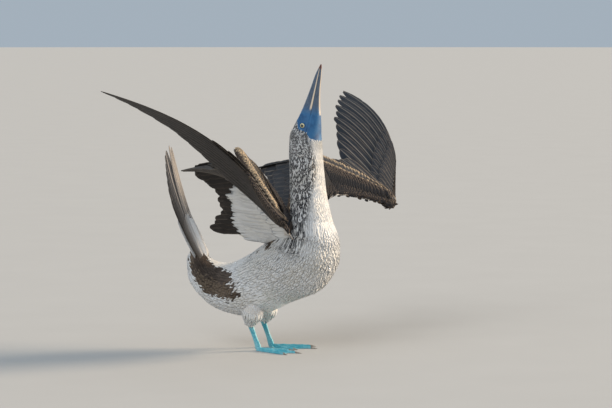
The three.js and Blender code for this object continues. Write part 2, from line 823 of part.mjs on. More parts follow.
addPiece("torso", between(wholeSkin, TAIL_ROOT_SECTION, NECK_BASE_SECTION), COLOURS.white);
addPiece("neck", between(wholeSkin, NECK_BASE_SECTION, HEAD_BASE_SECTION), COLOURS.streaked);
addPiece("head", head(), COLOURS.skin);
addPiece("bill_upper", billHalf(true), COLOURS.bill, 0.5);
addPiece("bill_lower", billHalf(false), COLOURS.bill, 0.5);
addPair("eye", eyeBall(EYE_RADIUS), COLOURS.iris, 0.1);
const leftWing = wing(LEFT_WING);
const rightWing = wing(RIGHT_WING);
const wingColours = { upper: COLOURS.brown, fore: COLOURS.brown, hand: COLOURS.black_brown };
for (const [part, colour] of Object.entries(wingColours)) {
  addPiece("wing_" + part + "_l", leftWing[part], colour);
  addPiece("wing_" + part + "_r", mirrored(rightWing[part]), colour);
}
addPiece("tail", tail(), COLOURS.black_brown);
addPair("thigh", thigh(), COLOURS.white);
addPair("shank", shank(), COLOURS.foot, 0.5);
addPair("foot", foot(), COLOURS.foot, 0.5);

// The origin is the middle of the footprint, on the floor.
const box = new THREE.Box3().setFromObject(bird);
bird.position.set(-(box.min.x + box.max.x) / 2, -(box.min.y + box.max.y) / 2, -box.min.z);

export default bird;
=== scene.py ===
"""A life-size blue-footed booby that points its bill to the sky, dressed feather by feather."""

import math

import bpy
import numpy as np
from bpy.props import FloatProperty, FloatVectorProperty, PointerProperty
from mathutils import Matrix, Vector


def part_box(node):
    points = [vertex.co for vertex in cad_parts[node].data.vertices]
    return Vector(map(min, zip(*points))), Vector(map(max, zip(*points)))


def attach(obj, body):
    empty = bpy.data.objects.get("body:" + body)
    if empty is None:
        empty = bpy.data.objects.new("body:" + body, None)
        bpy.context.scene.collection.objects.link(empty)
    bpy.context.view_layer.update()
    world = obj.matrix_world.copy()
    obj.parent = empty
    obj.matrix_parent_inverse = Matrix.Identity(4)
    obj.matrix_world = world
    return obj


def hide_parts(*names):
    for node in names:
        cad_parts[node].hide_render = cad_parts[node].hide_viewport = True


bl_info = {
    "name": "Sky-pointing Booby",
    "version": (1, 0, 0),
    "blender": (4, 5, 0),
    "location": "View3D > Sidebar > Booby",
    "description": "Builds the plumage, bare parts and stage of a life-size booby",
    "category": "Object",
}

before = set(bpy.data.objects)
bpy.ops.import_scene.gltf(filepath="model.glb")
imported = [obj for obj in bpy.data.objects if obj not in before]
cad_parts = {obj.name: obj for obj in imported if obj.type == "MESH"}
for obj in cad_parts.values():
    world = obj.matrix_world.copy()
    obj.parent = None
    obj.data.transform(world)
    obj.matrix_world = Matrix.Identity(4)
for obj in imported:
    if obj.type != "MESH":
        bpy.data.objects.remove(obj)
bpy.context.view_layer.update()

# The bird's own frame is in millimetres, with its origin on the floor between the feet.
MM = 0.001
EYE = np.array([76.0, 14.2, 397.0])


def origin_of_bird():
    """The place of the bird's own origin in the row frame, from its two eyes, in millimetres."""
    corners = np.array([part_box("eye_l"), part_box("eye_r")]) / MM
    return corners.reshape(-1, 3).mean(axis=0) - EYE * (1, 0, 1)


ORIGIN = origin_of_bird()

# Sections from the root of the tail to the tip of the bill: back x and z, belly x and z, half width.
SECTIONS = np.array(
    [
        (-133, 181, -151, 164, 11),
        (-120, 168, -150, 130, 23),
        (-107, 158, -129, 93, 34),
        (-88, 153, -80, 64, 47),
        (-60, 157, -14, 59, 57),
        (-30, 171, 52, 85, 62),
        (0, 191, 106, 114, 63),
        (23, 208, 132, 155, 58),
        (38, 224, 134, 196, 48),
        (46, 248, 122, 236, 38),
        (46, 280, 113, 276, 33.5),
        (45, 318, 108, 316, 31.5),
        (44.5, 353, 105, 352, 29.5),
        (47, 381, 102, 377, 25.5),
        (54, 397, 102.5, 392, 20),
        (60.5, 408, 102.5, 404, 15.5),
        (65.5, 418, 102.3, 414, 12.8),
        (73, 434, 101.2, 431, 10.4),
        (84, 461, 101.6, 459, 7.4),
        (93, 485, 104, 484, 4.8),
        (99.6, 498, 104.6, 497.6, 2.6),
        (102.8, 503.6, 104.4, 503.6, 0.7),
    ]
)

# How square the sections are, and those at which neck, head, skin and bill begin or end.
ROUNDNESS = 2.2
NECK_BASE = 9
HEAD_BASE = 12
SKIN_START = 0.6
SKIN_END = 16.15
BILL_START = 15.7
BILL_END = 20.97

# The mouth from its corner over the root of the bill to the tip.
GAPE = np.array([84.5, 0, 380.0])
MOUTH_START = np.array([88.5, 0, 414.0])
MOUTH_END = np.array([103.6, 0, 503.0])

# The groove along each side of the bill: its share of the way from ridge to edge, width and depth.
GROOVE_AT = 0.58
GROOVE_WIDTH = 0.05
GROOVE_DEPTH = 0.42

# The eyes: the radii of ball and pupil, the number that marks the ball's hidden back, and two colours.
EYE_RADIUS = 6.4
PUPIL_RADIUS = 2.35
EYE_BACK = 9.0
EYE_RIM = (0.02, 0.03, 0.04)
PUPIL_BLACK = (0.003, 0.003, 0.004)

# The lids from the eye outward: distance from its middle, and height over the eyeball or the face.
LIDS = (
    (4.25, 0.1), (4.4, 0.45), (4.75, 0.7), (5.2, 0.62), (5.8, 0.4),
    (6.6, 0.1), (7.6, -0.35), (7.0, -2.0), (5.6, -2.4), (4.6, -1.2),
)

# How far the skin lies under the outer line of the plumage, by section.
COAT_DEPTH = ((0, 3.0), (1, 3.6), (8, 3.6), (10, 2.6), (12, 2.2), (13.5, 1.4))

# Where the feathers of the head end: degrees from the back of the head, and section.
FACE_LINE = ((0, 15.1), (47, 14.56), (85, 13.66), (112, 13.45), (127, 12.83), (180, 12.7))

# Below this height no skin is blue, and it is all blue a little above.
FACE_FLOOR = 330.0
FACE_BLEND = 12

# Where the dark streaks of neck and breast end: section, and degrees from the back.
STREAK_LINE = (
    (7.0, 98), (8.1, 105), (8.8, 100), (9.5, 108), (10.1, 120),
    (10.7, 136), (11.3, 148), (11.9, 142), (12.8, 125),
)

# The patches of the plumage: the sections over which each grows and fades, and the degrees from the
# back over which it begins or ends.
STREAK_SECTIONS = (8.4, 9.0)
TONGUE_SECTIONS = ((6.9, 7.4), (8.9, 9.4))
TONGUE_BEGINS = (54, 66)
MANTLE_SECTIONS = ((5.9, 6.8), (9.0, 9.8))
MANTLE_ENDS = (34, 50)
FLANK_SECTIONS = ((0.6, 1.0), (4.1, 4.7))
FLANK_ENDS = (100, 112)

# The joints of the wings as if both were left ones, and the arm's radii at both ends of each bone.
SHOULDER = np.array([60.0, 46, 212])
WINGS = {
    "l": {"elbow": (25, 149, 326), "wrist": (141, 257, 247), "tip": (-59, 514, 442)},
    "r": {"elbow": (25, 151, 338), "wrist": (145, 262, 250), "tip": (-69, 509, 470)},
}
HUMERUS_RADIUS = (21.0, 12.0)
FOREARM_RADIUS = (12.0, 8.5)
ELBOW_SHARE = 0.5

# The fold of skin before the arm: how far out on both bones its front edge runs, how deep that edge is
# hollowed, half its thickness, the arm's camber, and the share of the way at which the wrist rounds off.
FOLD_REACH = 0.97
FOLD_HOLLOW = 0.34
FOLD_EDGE = 2.6
ARM_CAMBER = 7
WRIST_ROUNDING = 0.955

# The hand: the way across it, the root of its outermost long feather along and across it, and that of
# the innermost. Each other pair is for the outermost and the innermost feather.
HAND_CHORD = np.array([-0.772, -0.636, -0.022])
HAND_BONE = 96.0
HAND_EDGE = -24.0
INNERMOST_ROOT = (2, 9)
PRIMARY_LENGTH = (292, 150)
HAND_BOW = (22.0, 4)
HAND_SWEEP = (50.0, 8)
HAND_FAN = math.radians(25)
HAND_ARCH = 33.0

# The skin of the hand's bones: how far it reaches past them at both ends, and its radii there.
HAND_PAST = 14
KNUCKLE_RADIUS = (9.5, 3.0)

# Which way the feathers of the arm point, and how far they bend up on their way back.
OUTER_SECONDARY = np.array([-0.79, 0.11, 0.6])
TERTIAL = np.array([-0.972, 0.02, -0.2])
SCAPULAR = np.array([-0.985, 0.03, 0.01])
FORE_BEND = 9
UPPER_BEND = 6
BEND_REACH = 150

# How far each long feather rises over the next, and half the thickness of a vane.
SHINGLE_STEP = 1.5
VANE_HALF = 0.17

# The tail: its root, tip and length, the angle and half width of its fan, how steeply its two halves
# fall away like a roof, and its rise and bow over a straight line.
TAIL_ROOT = np.array([-127.0, 0, 160])
TAIL_TIP = np.array([-195.0, 0, 357])
TAIL_LENGTH = np.linalg.norm(TAIL_TIP - TAIL_ROOT)
TAIL_FAN = math.radians(6)
TAIL_ROOT_HALF = 14.0
TAIL_ROOF = 0.42
TAIL_RISE = 4
TAIL_BOW = 7

# The thigh: its radii at hip and heel, how much slimmer it is between them, and the largest radii that
# are let stand there. Then the joints of the left leg.
THIGH_RADII = (44.0, 11.0)
THIGH_HOLLOW = 3
THIGH_LIMIT = (12, 28)
LEG_Y = 28.0
HIP = np.array([-4.0, 36, 98])
HEEL = np.array([-20.0, LEG_Y, 47])
ANKLE = np.array([-5.0, LEG_Y, 8])

# The shank from above the heel down: distance from the heel, and radius.
SHANK = ((-13, 4.6), (-4, 5.3), (5, 5.0), (18, 4.2), (31, 4.4))

# Each toe: degrees out from straight ahead, length, radius, reach of its claw, half the claw's width.
TOES = {
    "outer": (27, 72, 4.1, 9, 1.75),
    "middle": (5, 76, 4.4, 11, 1.75),
    "inner": (-19, 56, 3.9, 9, 1.75),
    "hind": (-54, 23, 3.2, 6, 1.3),
}
CLAW_ROOT = 3.5

# How far out the free edge of each web stands, from the outer web in.
WEB_PULLS = (0.82, 0.82, 0.62)

# The size of the small cubes in which a leg is melted into one skin.
LEG_VOXEL = 0.6

# How far the skin lies under the small feathers of these parts.
THIGH_COAT = 3.0
ARM_COAT = 1.6
HAND_COAT = 1.2

# Rows and sides of the grid over the skin of an arm.
ARM_ROWS = 60
ARM_SIDES = 48

# The upright line round which the bake map of the skin is wound, by its x, and the height of that map.
MAP_AXIS = 60
MAP_HEIGHT = 520

# The steps of an even spread over a square, and the size of a small feather's patch on the bake map.
R2_STEPS = (0.7548776662466927, 0.5698402909980532)
BAKE_PATCH = 0.003

# The photograph's view: turned from the bird's side, raised, its distance and the scale at the bird.
VIEW_TURN = math.radians(23)
VIEW_RISE = math.radians(4)
VIEW_DISTANCE = 4.5
VIEW_TARGET = (75, 0, 259)
IMAGE_WIDTH = 612
MM_PER_PIXEL = 1.75
SENSOR = 36.0

# The stage, in metres. A lamp has its direction to the right, away and up as the camera sees them, its
# width in degrees, its power and its colour.
FLOOR_RADIUS = 60.0
FLOOR_SIDES = 64
LAMPS = {
    "key": ((-1.6, -2.6, 2.6), 40, 1.1, (1.0, 0.98, 0.96)),
    "rim": ((2.6, 1.0, 0.9), 22, 5.0, (1.0, 0.8, 0.58)),
}
SKY_COLOUR = (0.74, 0.87, 1.0, 1)
SKY_POWER = 0.5


class Sock:
    """A socket of a node tree that can take part in sums."""

    def __init__(self, shader, socket):
        self.shader = shader
        self.socket = socket

    def _with(self, operation, *others):
        return self.shader.node("ShaderNodeMath", {"operation": operation}, [self, *others])

    def __add__(self, other):
        return self._with("ADD", other)

    __radd__ = __add__

    def __sub__(self, other):
        return self._with("SUBTRACT", other)

    def __rsub__(self, other):
        return self._with("MULTIPLY_ADD", -1.0, other)

    def __mul__(self, other):
        return self._with("MULTIPLY", other)

    __rmul__ = __mul__

    def __truediv__(self, other):
        return self._with("DIVIDE", other)

    def clipped(self, low=0.0, high=1.0):
        return self._with("MAXIMUM", low)._with("MINIMUM", high)

    def abs(self):
        return self._with("ABSOLUTE")

    def most(self, other):
        return self._with("MAXIMUM", other)

    def sine(self):
        return self._with("SINE")

    def between(self, low, high):
        """0 at low and 1 at high, with a soft step between them."""
        t = ((self - low) / (high - low)).clipped()
        return t * t * (3.0 - 2.0 * t)


class Shader:
    """A material under construction."""

    def __init__(self, name, **constants):
        self.material = bpy.data.materials.new(name)
        self.material.use_nodes = True
        self.tree = self.material.node_tree
        self.surface = self.tree.nodes["Principled BSDF"]
        for socket, value in constants.items():
            self.surface.inputs[socket.replace("_", " ")].default_value = value

    def node(self, kind, settings=None, values=(), output=0):
        """Adds a node, sets it up, feeds its sockets by number or name, and gives back one output."""
        made = self.tree.nodes.new(kind)
        for name, value in (settings or {}).items():
            setattr(made, name, value)
        pairs = values.items() if isinstance(values, dict) else enumerate(values)
        for key, value in pairs:
            if isinstance(value, Sock):
                self.tree.links.new(value.socket, made.inputs[key])
            else:
                made.inputs[key].default_value = value
        return Sock(self, made.outputs[output])

    def attribute(self, name):
        return self.node("ShaderNodeAttribute", {"attribute_name": name}, output="Fac")

    def axes(self, socket):
        """The three numbers of a vector."""
        return [self.node("ShaderNodeSeparateXYZ", None, [socket], k) for k in range(3)]

    def map_axes(self, name):
        return self.axes(self.node("ShaderNodeUVMap", {"uv_map": name}))[:2]

    def place(self):
        return self.node("ShaderNodeTexCoord", output="Object")

    def scaled(self, vector, factors):
        return self.node("ShaderNodeVectorMath", {"operation": "MULTIPLY"}, [vector, factors])

    def noise(self, scale, detail=3.0, vector=None):
        values = {"Vector": vector or self.place(), "Scale": scale, "Detail": detail}
        return self.node("ShaderNodeTexNoise", None, values)

    def mottle(self, scale):
        """Soft patches between 0 and 1."""
        return self.noise(scale).between(0.35, 0.7)

    def cells(self, scale):
        """Distance from the middle of the nearest of many small cells."""
        values = {"Vector": self.place(), "Scale": scale}
        return self.node("ShaderNodeTexVoronoi", {"feature": "F1"}, values, "Distance")

    def mix(self, factor, first, second):
        """A mix of two colours, each a socket or three numbers."""
        first, second = (one if isinstance(one, Sock) else (*one, 1) for one in (first, second))
        return self.node("ShaderNodeMix", {"data_type": "RGBA"}, {0: factor, 6: first, 7: second}, 2)

    def tint(self, colour, factor):
        """A colour made darker or lighter by a factor."""
        settings = {"operation": "SCALE"}
        return self.node("ShaderNodeVectorMath", settings, {0: colour, "Scale": factor})

    def use(self, name, value):
        self.tree.links.new(value.socket, self.surface.inputs[name])

    def bump(self, height, distance, strength=1.0):
        values = {"Height": height, "Distance": distance, "Strength": strength}
        self.use("Normal", self.node("ShaderNodeBump", None, values))


def spline(points, where):
    """Catmull-Rom through rows of numbers, at fractional row numbers."""
    points = np.asarray(points, float)
    where = np.clip(np.asarray(where, float), 0, len(points) - 1 - 1e-9)
    k = where.astype(int)
    t = (where - k)[..., None]
    last = len(points) - 1
    p0, p1, p2, p3 = (points[np.clip(k + i, 0, last)] for i in (-1, 0, 1, 2))
    m1, m2 = (p2 - p0) / 2, (p3 - p1) / 2
    h1, h2 = 2 * t**3 - 3 * t**2 + 1, t**3 - 2 * t**2 + t
    h3, h4 = -2 * t**3 + 3 * t**2, t**3 - t**2
    return h1 * p1 + h2 * m1 + h3 * p2 + h4 * m2


def unit(vectors):
    vectors = np.asarray(vectors, float)
    return vectors / np.maximum(np.linalg.norm(vectors, axis=-1, keepdims=True), 1e-12)


def across_from(vectors, directions):
    """The vectors without their share along the directions, of length one."""
    share = (vectors * directions).sum(-1, keepdims=True)
    return unit(vectors - share * directions)


def blend(low, high, share):
    return low + (high - low) * share


def at_shares(value, t):
    """What holds at shares of the way: a number for all, a pair for first and last, or a function."""
    if callable(value):
        return value(t)
    return blend(*(value if isinstance(value, tuple) else (value, value)), t)


def soft(value, low, high):
    """0 below low and 1 above high, with a soft step between them."""
    t = np.clip((np.asarray(value, float) - low) / (high - low), 0, 1)
    return t * t * (3 - 2 * t)


def window(value, rising, falling):
    """1 between a soft step up and a soft step down, and 0 outside them."""
    return soft(value, *rising) * (1 - soft(value, *falling))


def rounding(value, start, end, most=0.995):
    """1 up to a start, and from there down like a quarter circle towards the end."""
    return np.sqrt(1 - np.clip((value - start) / (end - start), 0, most) ** 2)


def turned(first, second, share):
    """Directions part of the way from one to another, along the arc between them."""
    first, second = unit(first), unit(second)
    angle = math.acos(float(np.clip(first @ second, -1, 1)))
    share = np.asarray(share, float)[..., None]
    return (np.sin((1 - share) * angle) * first + np.sin(share * angle) * second) / math.sin(angle)


class Body:
    """The skin of trunk, neck, head and bill: a place for each section number and angle from the back."""

    @staticmethod
    def point(section, angle, depth=0.0):
        row = spline(SECTIONS, section)
        back = np.stack([row[..., 0], 0 * row[..., 0], row[..., 1]], -1)
        belly = np.stack([row[..., 2], 0 * row[..., 0], row[..., 3]], -1)
        centre, arm = (back + belly) / 2, (back - belly) / 2
        length = np.linalg.norm(arm, axis=-1, keepdims=True)
        depth = np.broadcast_to(np.asarray(depth, float), np.shape(section + angle))[..., None]
        c, s = np.cos(angle)[..., None], np.sin(angle)[..., None]
        reach = (np.abs(c) ** ROUNDNESS + np.abs(s) ** ROUNDNESS) ** (-1 / ROUNDNESS)
        side = np.array([0.0, 1.0, 0.0]) * (row[..., 4:5] - depth)
        return centre + arm / length * (length - depth) * c * reach + side * s * reach

    @classmethod
    def lie(cls, section, angle):
        """Place, outward normal and the direction that feathers point in."""
        place = cls.point(section, angle)
        tailward = unit(cls.point(section - 0.02, angle) - cls.point(section + 0.02, angle))
        round_it = unit(cls.point(section, angle + 0.01) - cls.point(section, angle - 0.01))
        return place, unit(np.cross(round_it, tailward)), tailward


def mesh_piece(name, points, faces, materials, nodes=(), body="root"):
    """Makes a mesh object from points in the bird's millimetres and puts it on its body."""
    mesh = bpy.data.meshes.new(name)
    places = (np.asarray(points, float).reshape(-1, 3) + ORIGIN) * MM
    groups = [np.asarray(group, np.int32) for group in faces if len(group)]
    loops = np.concatenate([group.reshape(-1) for group in groups])
    sizes = np.concatenate([np.full(len(group), group.shape[1], np.int32) for group in groups])
    starts = np.concatenate([[0], np.cumsum(sizes)[:-1]]).astype(np.int32)
    mesh.vertices.add(len(places))
    mesh.vertices.foreach_set("co", places.astype(np.float32).reshape(-1))
    mesh.loops.add(len(loops))
    mesh.loops.foreach_set("vertex_index", loops)
    mesh.polygons.add(len(sizes))
    mesh.polygons.foreach_set("loop_start", starts)
    mesh.polygons.foreach_set("loop_total", sizes)
    mesh.update(calc_edges=True)
    mesh.shade_smooth()
    piece = bpy.data.objects.new(name, mesh)
    bpy.context.scene.collection.objects.link(piece)
    for material in materials:
        mesh.materials.append(material)
    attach(piece, body)
    if nodes:
        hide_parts(*nodes)
    return piece


def set_map(piece, name, by_vertex):
    """Adds a UV map with one pair of numbers for each vertex."""
    mesh = piece.data
    layer = mesh.uv_layers.new(name=name)
    index = np.zeros(len(mesh.loops), np.int32)
    mesh.loops.foreach_get("vertex_index", index)
    layer.data.foreach_set("uv", np.asarray(by_vertex, np.float32)[index].reshape(-1))


def set_attribute(piece, name, by_vertex):
    layer = piece.data.attributes.new(name, "FLOAT", "POINT")
    layer.data.foreach_set("value", np.asarray(by_vertex, np.float32).reshape(-1))


def grid_faces(rows, columns, wrap=False):
    """Quads over a grid of points, closed round in its second direction where asked."""
    r, c = np.meshgrid(np.arange(rows - 1), np.arange(columns if wrap else columns - 1), indexing="ij")
    a, b = r * columns + c, r * columns + (c + 1) % columns
    return np.stack([a, b, b + columns, a + columns], -1).reshape(-1, 4)


def outward(points, quads, triangles=np.zeros((0, 3), int)):
    """The same closed skin with its faces turned out."""
    volume = 0.0
    for faces in (quads, triangles):
        for k in range(1, faces.shape[1] - 1 if len(faces) else 0):
            a, b, c = (points[faces[:, i]] for i in (0, k, k + 1))
            volume += (a * np.cross(b, c)).sum()
    if volume < 0:
        quads, triangles = quads[:, ::-1], triangles[:, ::-1]
    return points, quads, triangles


def tube(rings):
    """A closed skin over rings of points: points, quads and end triangles."""
    rings = np.asarray(rings, float)
    rows, columns = rings.shape[:2]
    points = np.concatenate([rings.reshape(-1, 3), [rings[0].mean(0)], [rings[-1].mean(0)]])
    around = np.arange(columns)
    following = (around + 1) % columns
    start = np.stack([np.full(columns, rows * columns), following, around], -1)
    finish = (rows - 1) * columns
    end = np.stack([np.full(columns, rows * columns + 1), around + finish, following + finish], -1)
    return outward(points, grid_faces(rows, columns, wrap=True), np.concatenate([start, end]))


def joined(parts):
    """Several (points, quads, triangles) as one."""
    points, quads, triangles, offset = [], [], [], 0
    for part_points, part_quads, part_triangles in parts:
        points.append(part_points)
        quads.append(part_quads + offset)
        triangles.append(part_triangles + offset)
        offset += len(part_points)
    return np.concatenate(points), np.concatenate(quads), np.concatenate(triangles)


def limb(stops, sides, flatten):
    """A limb through stops of x, y, z and radius, smoothed between them and flattened from its sides."""
    stops = np.asarray(stops, float)
    where = np.linspace(0, len(stops) - 1, (len(stops) - 1) * 5 + 1)
    rows = spline(stops, where)
    along = unit(np.gradient(rows[:, :3], axis=0))
    side = across_from(np.array([0.0, 1.0, 0.0]), along)
    other = np.cross(along, side)
    angle = np.linspace(0, 2 * math.pi, sides, endpoint=False)
    radius = rows[:, 3][:, None, None]
    across = side[:, None] * np.cos(angle)[None, :, None] * flatten
    upward = other[:, None] * np.sin(angle)[None, :, None]
    return tube(rows[:, None, :3] + radius * (across + upward))


def feather_piece(name, batches, material, nodes=()):
    """One piece of many feathers.

    A batch has points, maps and traits with a row for each feather, and the faces that each has.
    """
    points, faces, maps, traits, offset = [], {}, {}, {}, 0
    for batch in batches:
        count, each = batch["points"].shape[:2]
        points.append(batch["points"].reshape(-1, 3))
        shift = (offset + each * np.arange(count))[:, None, None]
        for one in batch["faces"]:
            corners = one.shape[1]
            faces.setdefault(corners, []).append((one + shift).reshape(-1, corners))
        for key, values in batch["maps"].items():
            maps.setdefault(key, []).append(np.broadcast_to(values, (count, each, 2)).reshape(-1, 2))
        for key, values in batch["traits"].items():
            traits.setdefault(key, []).append(np.broadcast_to(values, (count, each)).reshape(-1))
        offset += count * each
    groups = [np.concatenate(group) for group in faces.values()]
    piece = mesh_piece(name, np.concatenate(points), groups, [material], nodes)
    for key, values in maps.items():
        set_map(piece, key, np.concatenate(values))
    for key, values in traits.items():
        set_attribute(piece, key, np.concatenate(values))
    return piece


def map_places(across, up, across_span=(0.02, 0.96), up_span=(0.02, 0.96)):
    """Places on the bake map for two shares. A span is where a share starts and how far it goes."""
    return np.stack([across_span[0] + across_span[1] * across, up_span[0] + up_span[1] * up], -1)


def swayed(lie, normal, amount, rolls):
    """Directions that lie in a surface, turned a little to either side."""
    return unit(lie + np.cross(normal, lie) * (amount * (rolls - 0.5))[:, None])


class Plumes:
    """Many small feathers at once, each a closed, thin, tapered blade that lies over the next."""

    ROWS = np.array([0.0, 0.3, 0.62, 0.86])
    OUTLINE = np.array([0.45, 0.95, 1.0, 0.66])
    TAPER = 0.6

    def __init__(self, seed, mirror=(1, 1, 1)):
        self.random = np.random.default_rng(seed)
        self.mirror = np.asarray(mirror, float)
        self.batches = []

    def add(self, place, normal, lie, length, width, bake, *, lift, curl, crown=0.16, thick=0.35, **traits):
        """Feathers with their roots at the places. Traits are one number a feather, kept as attributes."""
        count = len(place)
        shape = dict(length=length, width=width, lift=lift, curl=curl, crown=crown, thick=thick)
        batch = {key: np.full(count, value, float) for key, value in shape.items()}
        batch["traits"] = {key: np.full(count, value, float) for key, value in traits.items()}
        batch.update(place=place * self.mirror, normal=normal * self.mirror, lie=lie * self.mirror, bake=bake)
        self.batches.append(batch)

    def _blades(self, b):
        """The points of a batch, with a row for each feather, and their places on the vane."""
        along = unit(b["lie"] + b["lift"][:, None] * b["normal"])
        up = across_from(b["normal"], along)
        side = np.cross(along, up)
        length, width = b["length"][:, None], b["width"][:, None]
        bow = lambda t: up * (b["curl"] * b["length"] * t * t)[:, None]
        points, uv = [], []
        for t, share in zip(self.ROWS, self.OUTLINE):
            centre = b["place"] + along * length * t - bow(t)
            half = side * width * 0.5 * share
            crown = up * (b["crown"] * b["width"] * share)[:, None]
            keel = up * (b["thick"] * (1 - self.TAPER * t))[:, None]
            points += [centre - half, centre + crown, centre + half, centre + crown - keel]
            uv += [(0.5 - 0.5 * share, t), (0.5, t), (0.5 + 0.5 * share, t), (0.5, t)]
        points.append(b["place"] + along * length - bow(1.0))
        uv.append((0.5, 1.0))
        return np.stack(points, 1), np.array(uv)

    def build(self, name, material, slot):
        rows = len(self.ROWS)
        end = 4 * (rows - 1)
        quads = np.concatenate([grid_faces(rows, 4, wrap=True), [(3, 2, 1, 0)]])
        tips = np.array([(end + k, end + (k + 1) % 4, end + 4) for k in range(4)])
        batches = []
        for batch in self.batches:
            points, uv = self._blades(batch)
            patch = batch["bake"][:, None, :] + (uv - 0.5) * BAKE_PATCH
            maps = {"OFBake": np.clip(patch, 0.001, 0.999), "Vane": uv}
            traits = {key: values[:, None] for key, values in batch["traits"].items()}
            batches.append({"points": points, "faces": [quads, tips], "maps": maps, "traits": traits})
        return feather_piece(name, batches, material)


def scatter(surface, spans, spacing, weight=None, cells=(160, 120)):
    """Even places over a surface, about so many millimetres apart: their first and second coordinates."""
    (u0, u1), (v0, v1) = spans
    rows, columns = cells
    du, dv = (u1 - u0) / rows, (v1 - v0) / columns
    u, v = np.meshgrid(u0 + du * (np.arange(rows) + 0.5), v0 + dv * (np.arange(columns) + 0.5), indexing="ij")
    first = surface(u + du / 2, v) - surface(u - du / 2, v)
    second = surface(u, v + dv / 2) - surface(u, v - dv / 2)
    area = np.linalg.norm(np.cross(first, second), axis=-1) + 1e-9
    if weight is not None:
        area = area * weight(u, v) + 1e-9
    order = np.arange(int(area.sum() / spacing**2))
    x, y = (0.5 + order * R2_STEPS[0]) % 1, (0.5 + order * R2_STEPS[1]) % 1
    by_row = np.concatenate([[0], np.cumsum(area.sum(1))])
    place_u = np.interp(x, by_row / by_row[-1], np.linspace(u0, u1, rows + 1))
    row = np.clip(((place_u - u0) / du).astype(int), 0, rows - 1)
    share = np.concatenate([np.zeros((rows, 1)), np.cumsum(area, 1) / area.sum(1, keepdims=True)], 1)
    steps = np.tile(np.linspace(v0, v1, columns + 1), rows)
    place_v = np.interp(y + 2 * row, (share + 2 * np.arange(rows)[:, None]).reshape(-1), steps)
    return place_u, place_v


class Sheet:
    """A surface that long feathers lie in: a place for each root and each distance along the feathers."""

    def __init__(self, flat, bend, face=1.0):
        self.flat, self.bend, self.face = flat, bend, face

    def normal(self, root, reach):
        across = self.flat(root + 0.002, reach) - self.flat(root - 0.002, reach)
        along = self.flat(root, reach + 1) - self.flat(root, reach - 1)
        return unit(np.cross(along, across)) * self.face

    def point(self, root, reach, rise=0.0):
        flat = self.flat(root, reach)
        return flat + self.normal(root, reach) * (self.bend(reach, flat) + rise)[..., None]

    def spacing(self, root, reach):
        step = self.flat(root + 0.005, reach) - self.flat(root - 0.005, reach)
        return np.linalg.norm(step, axis=-1) / 0.01


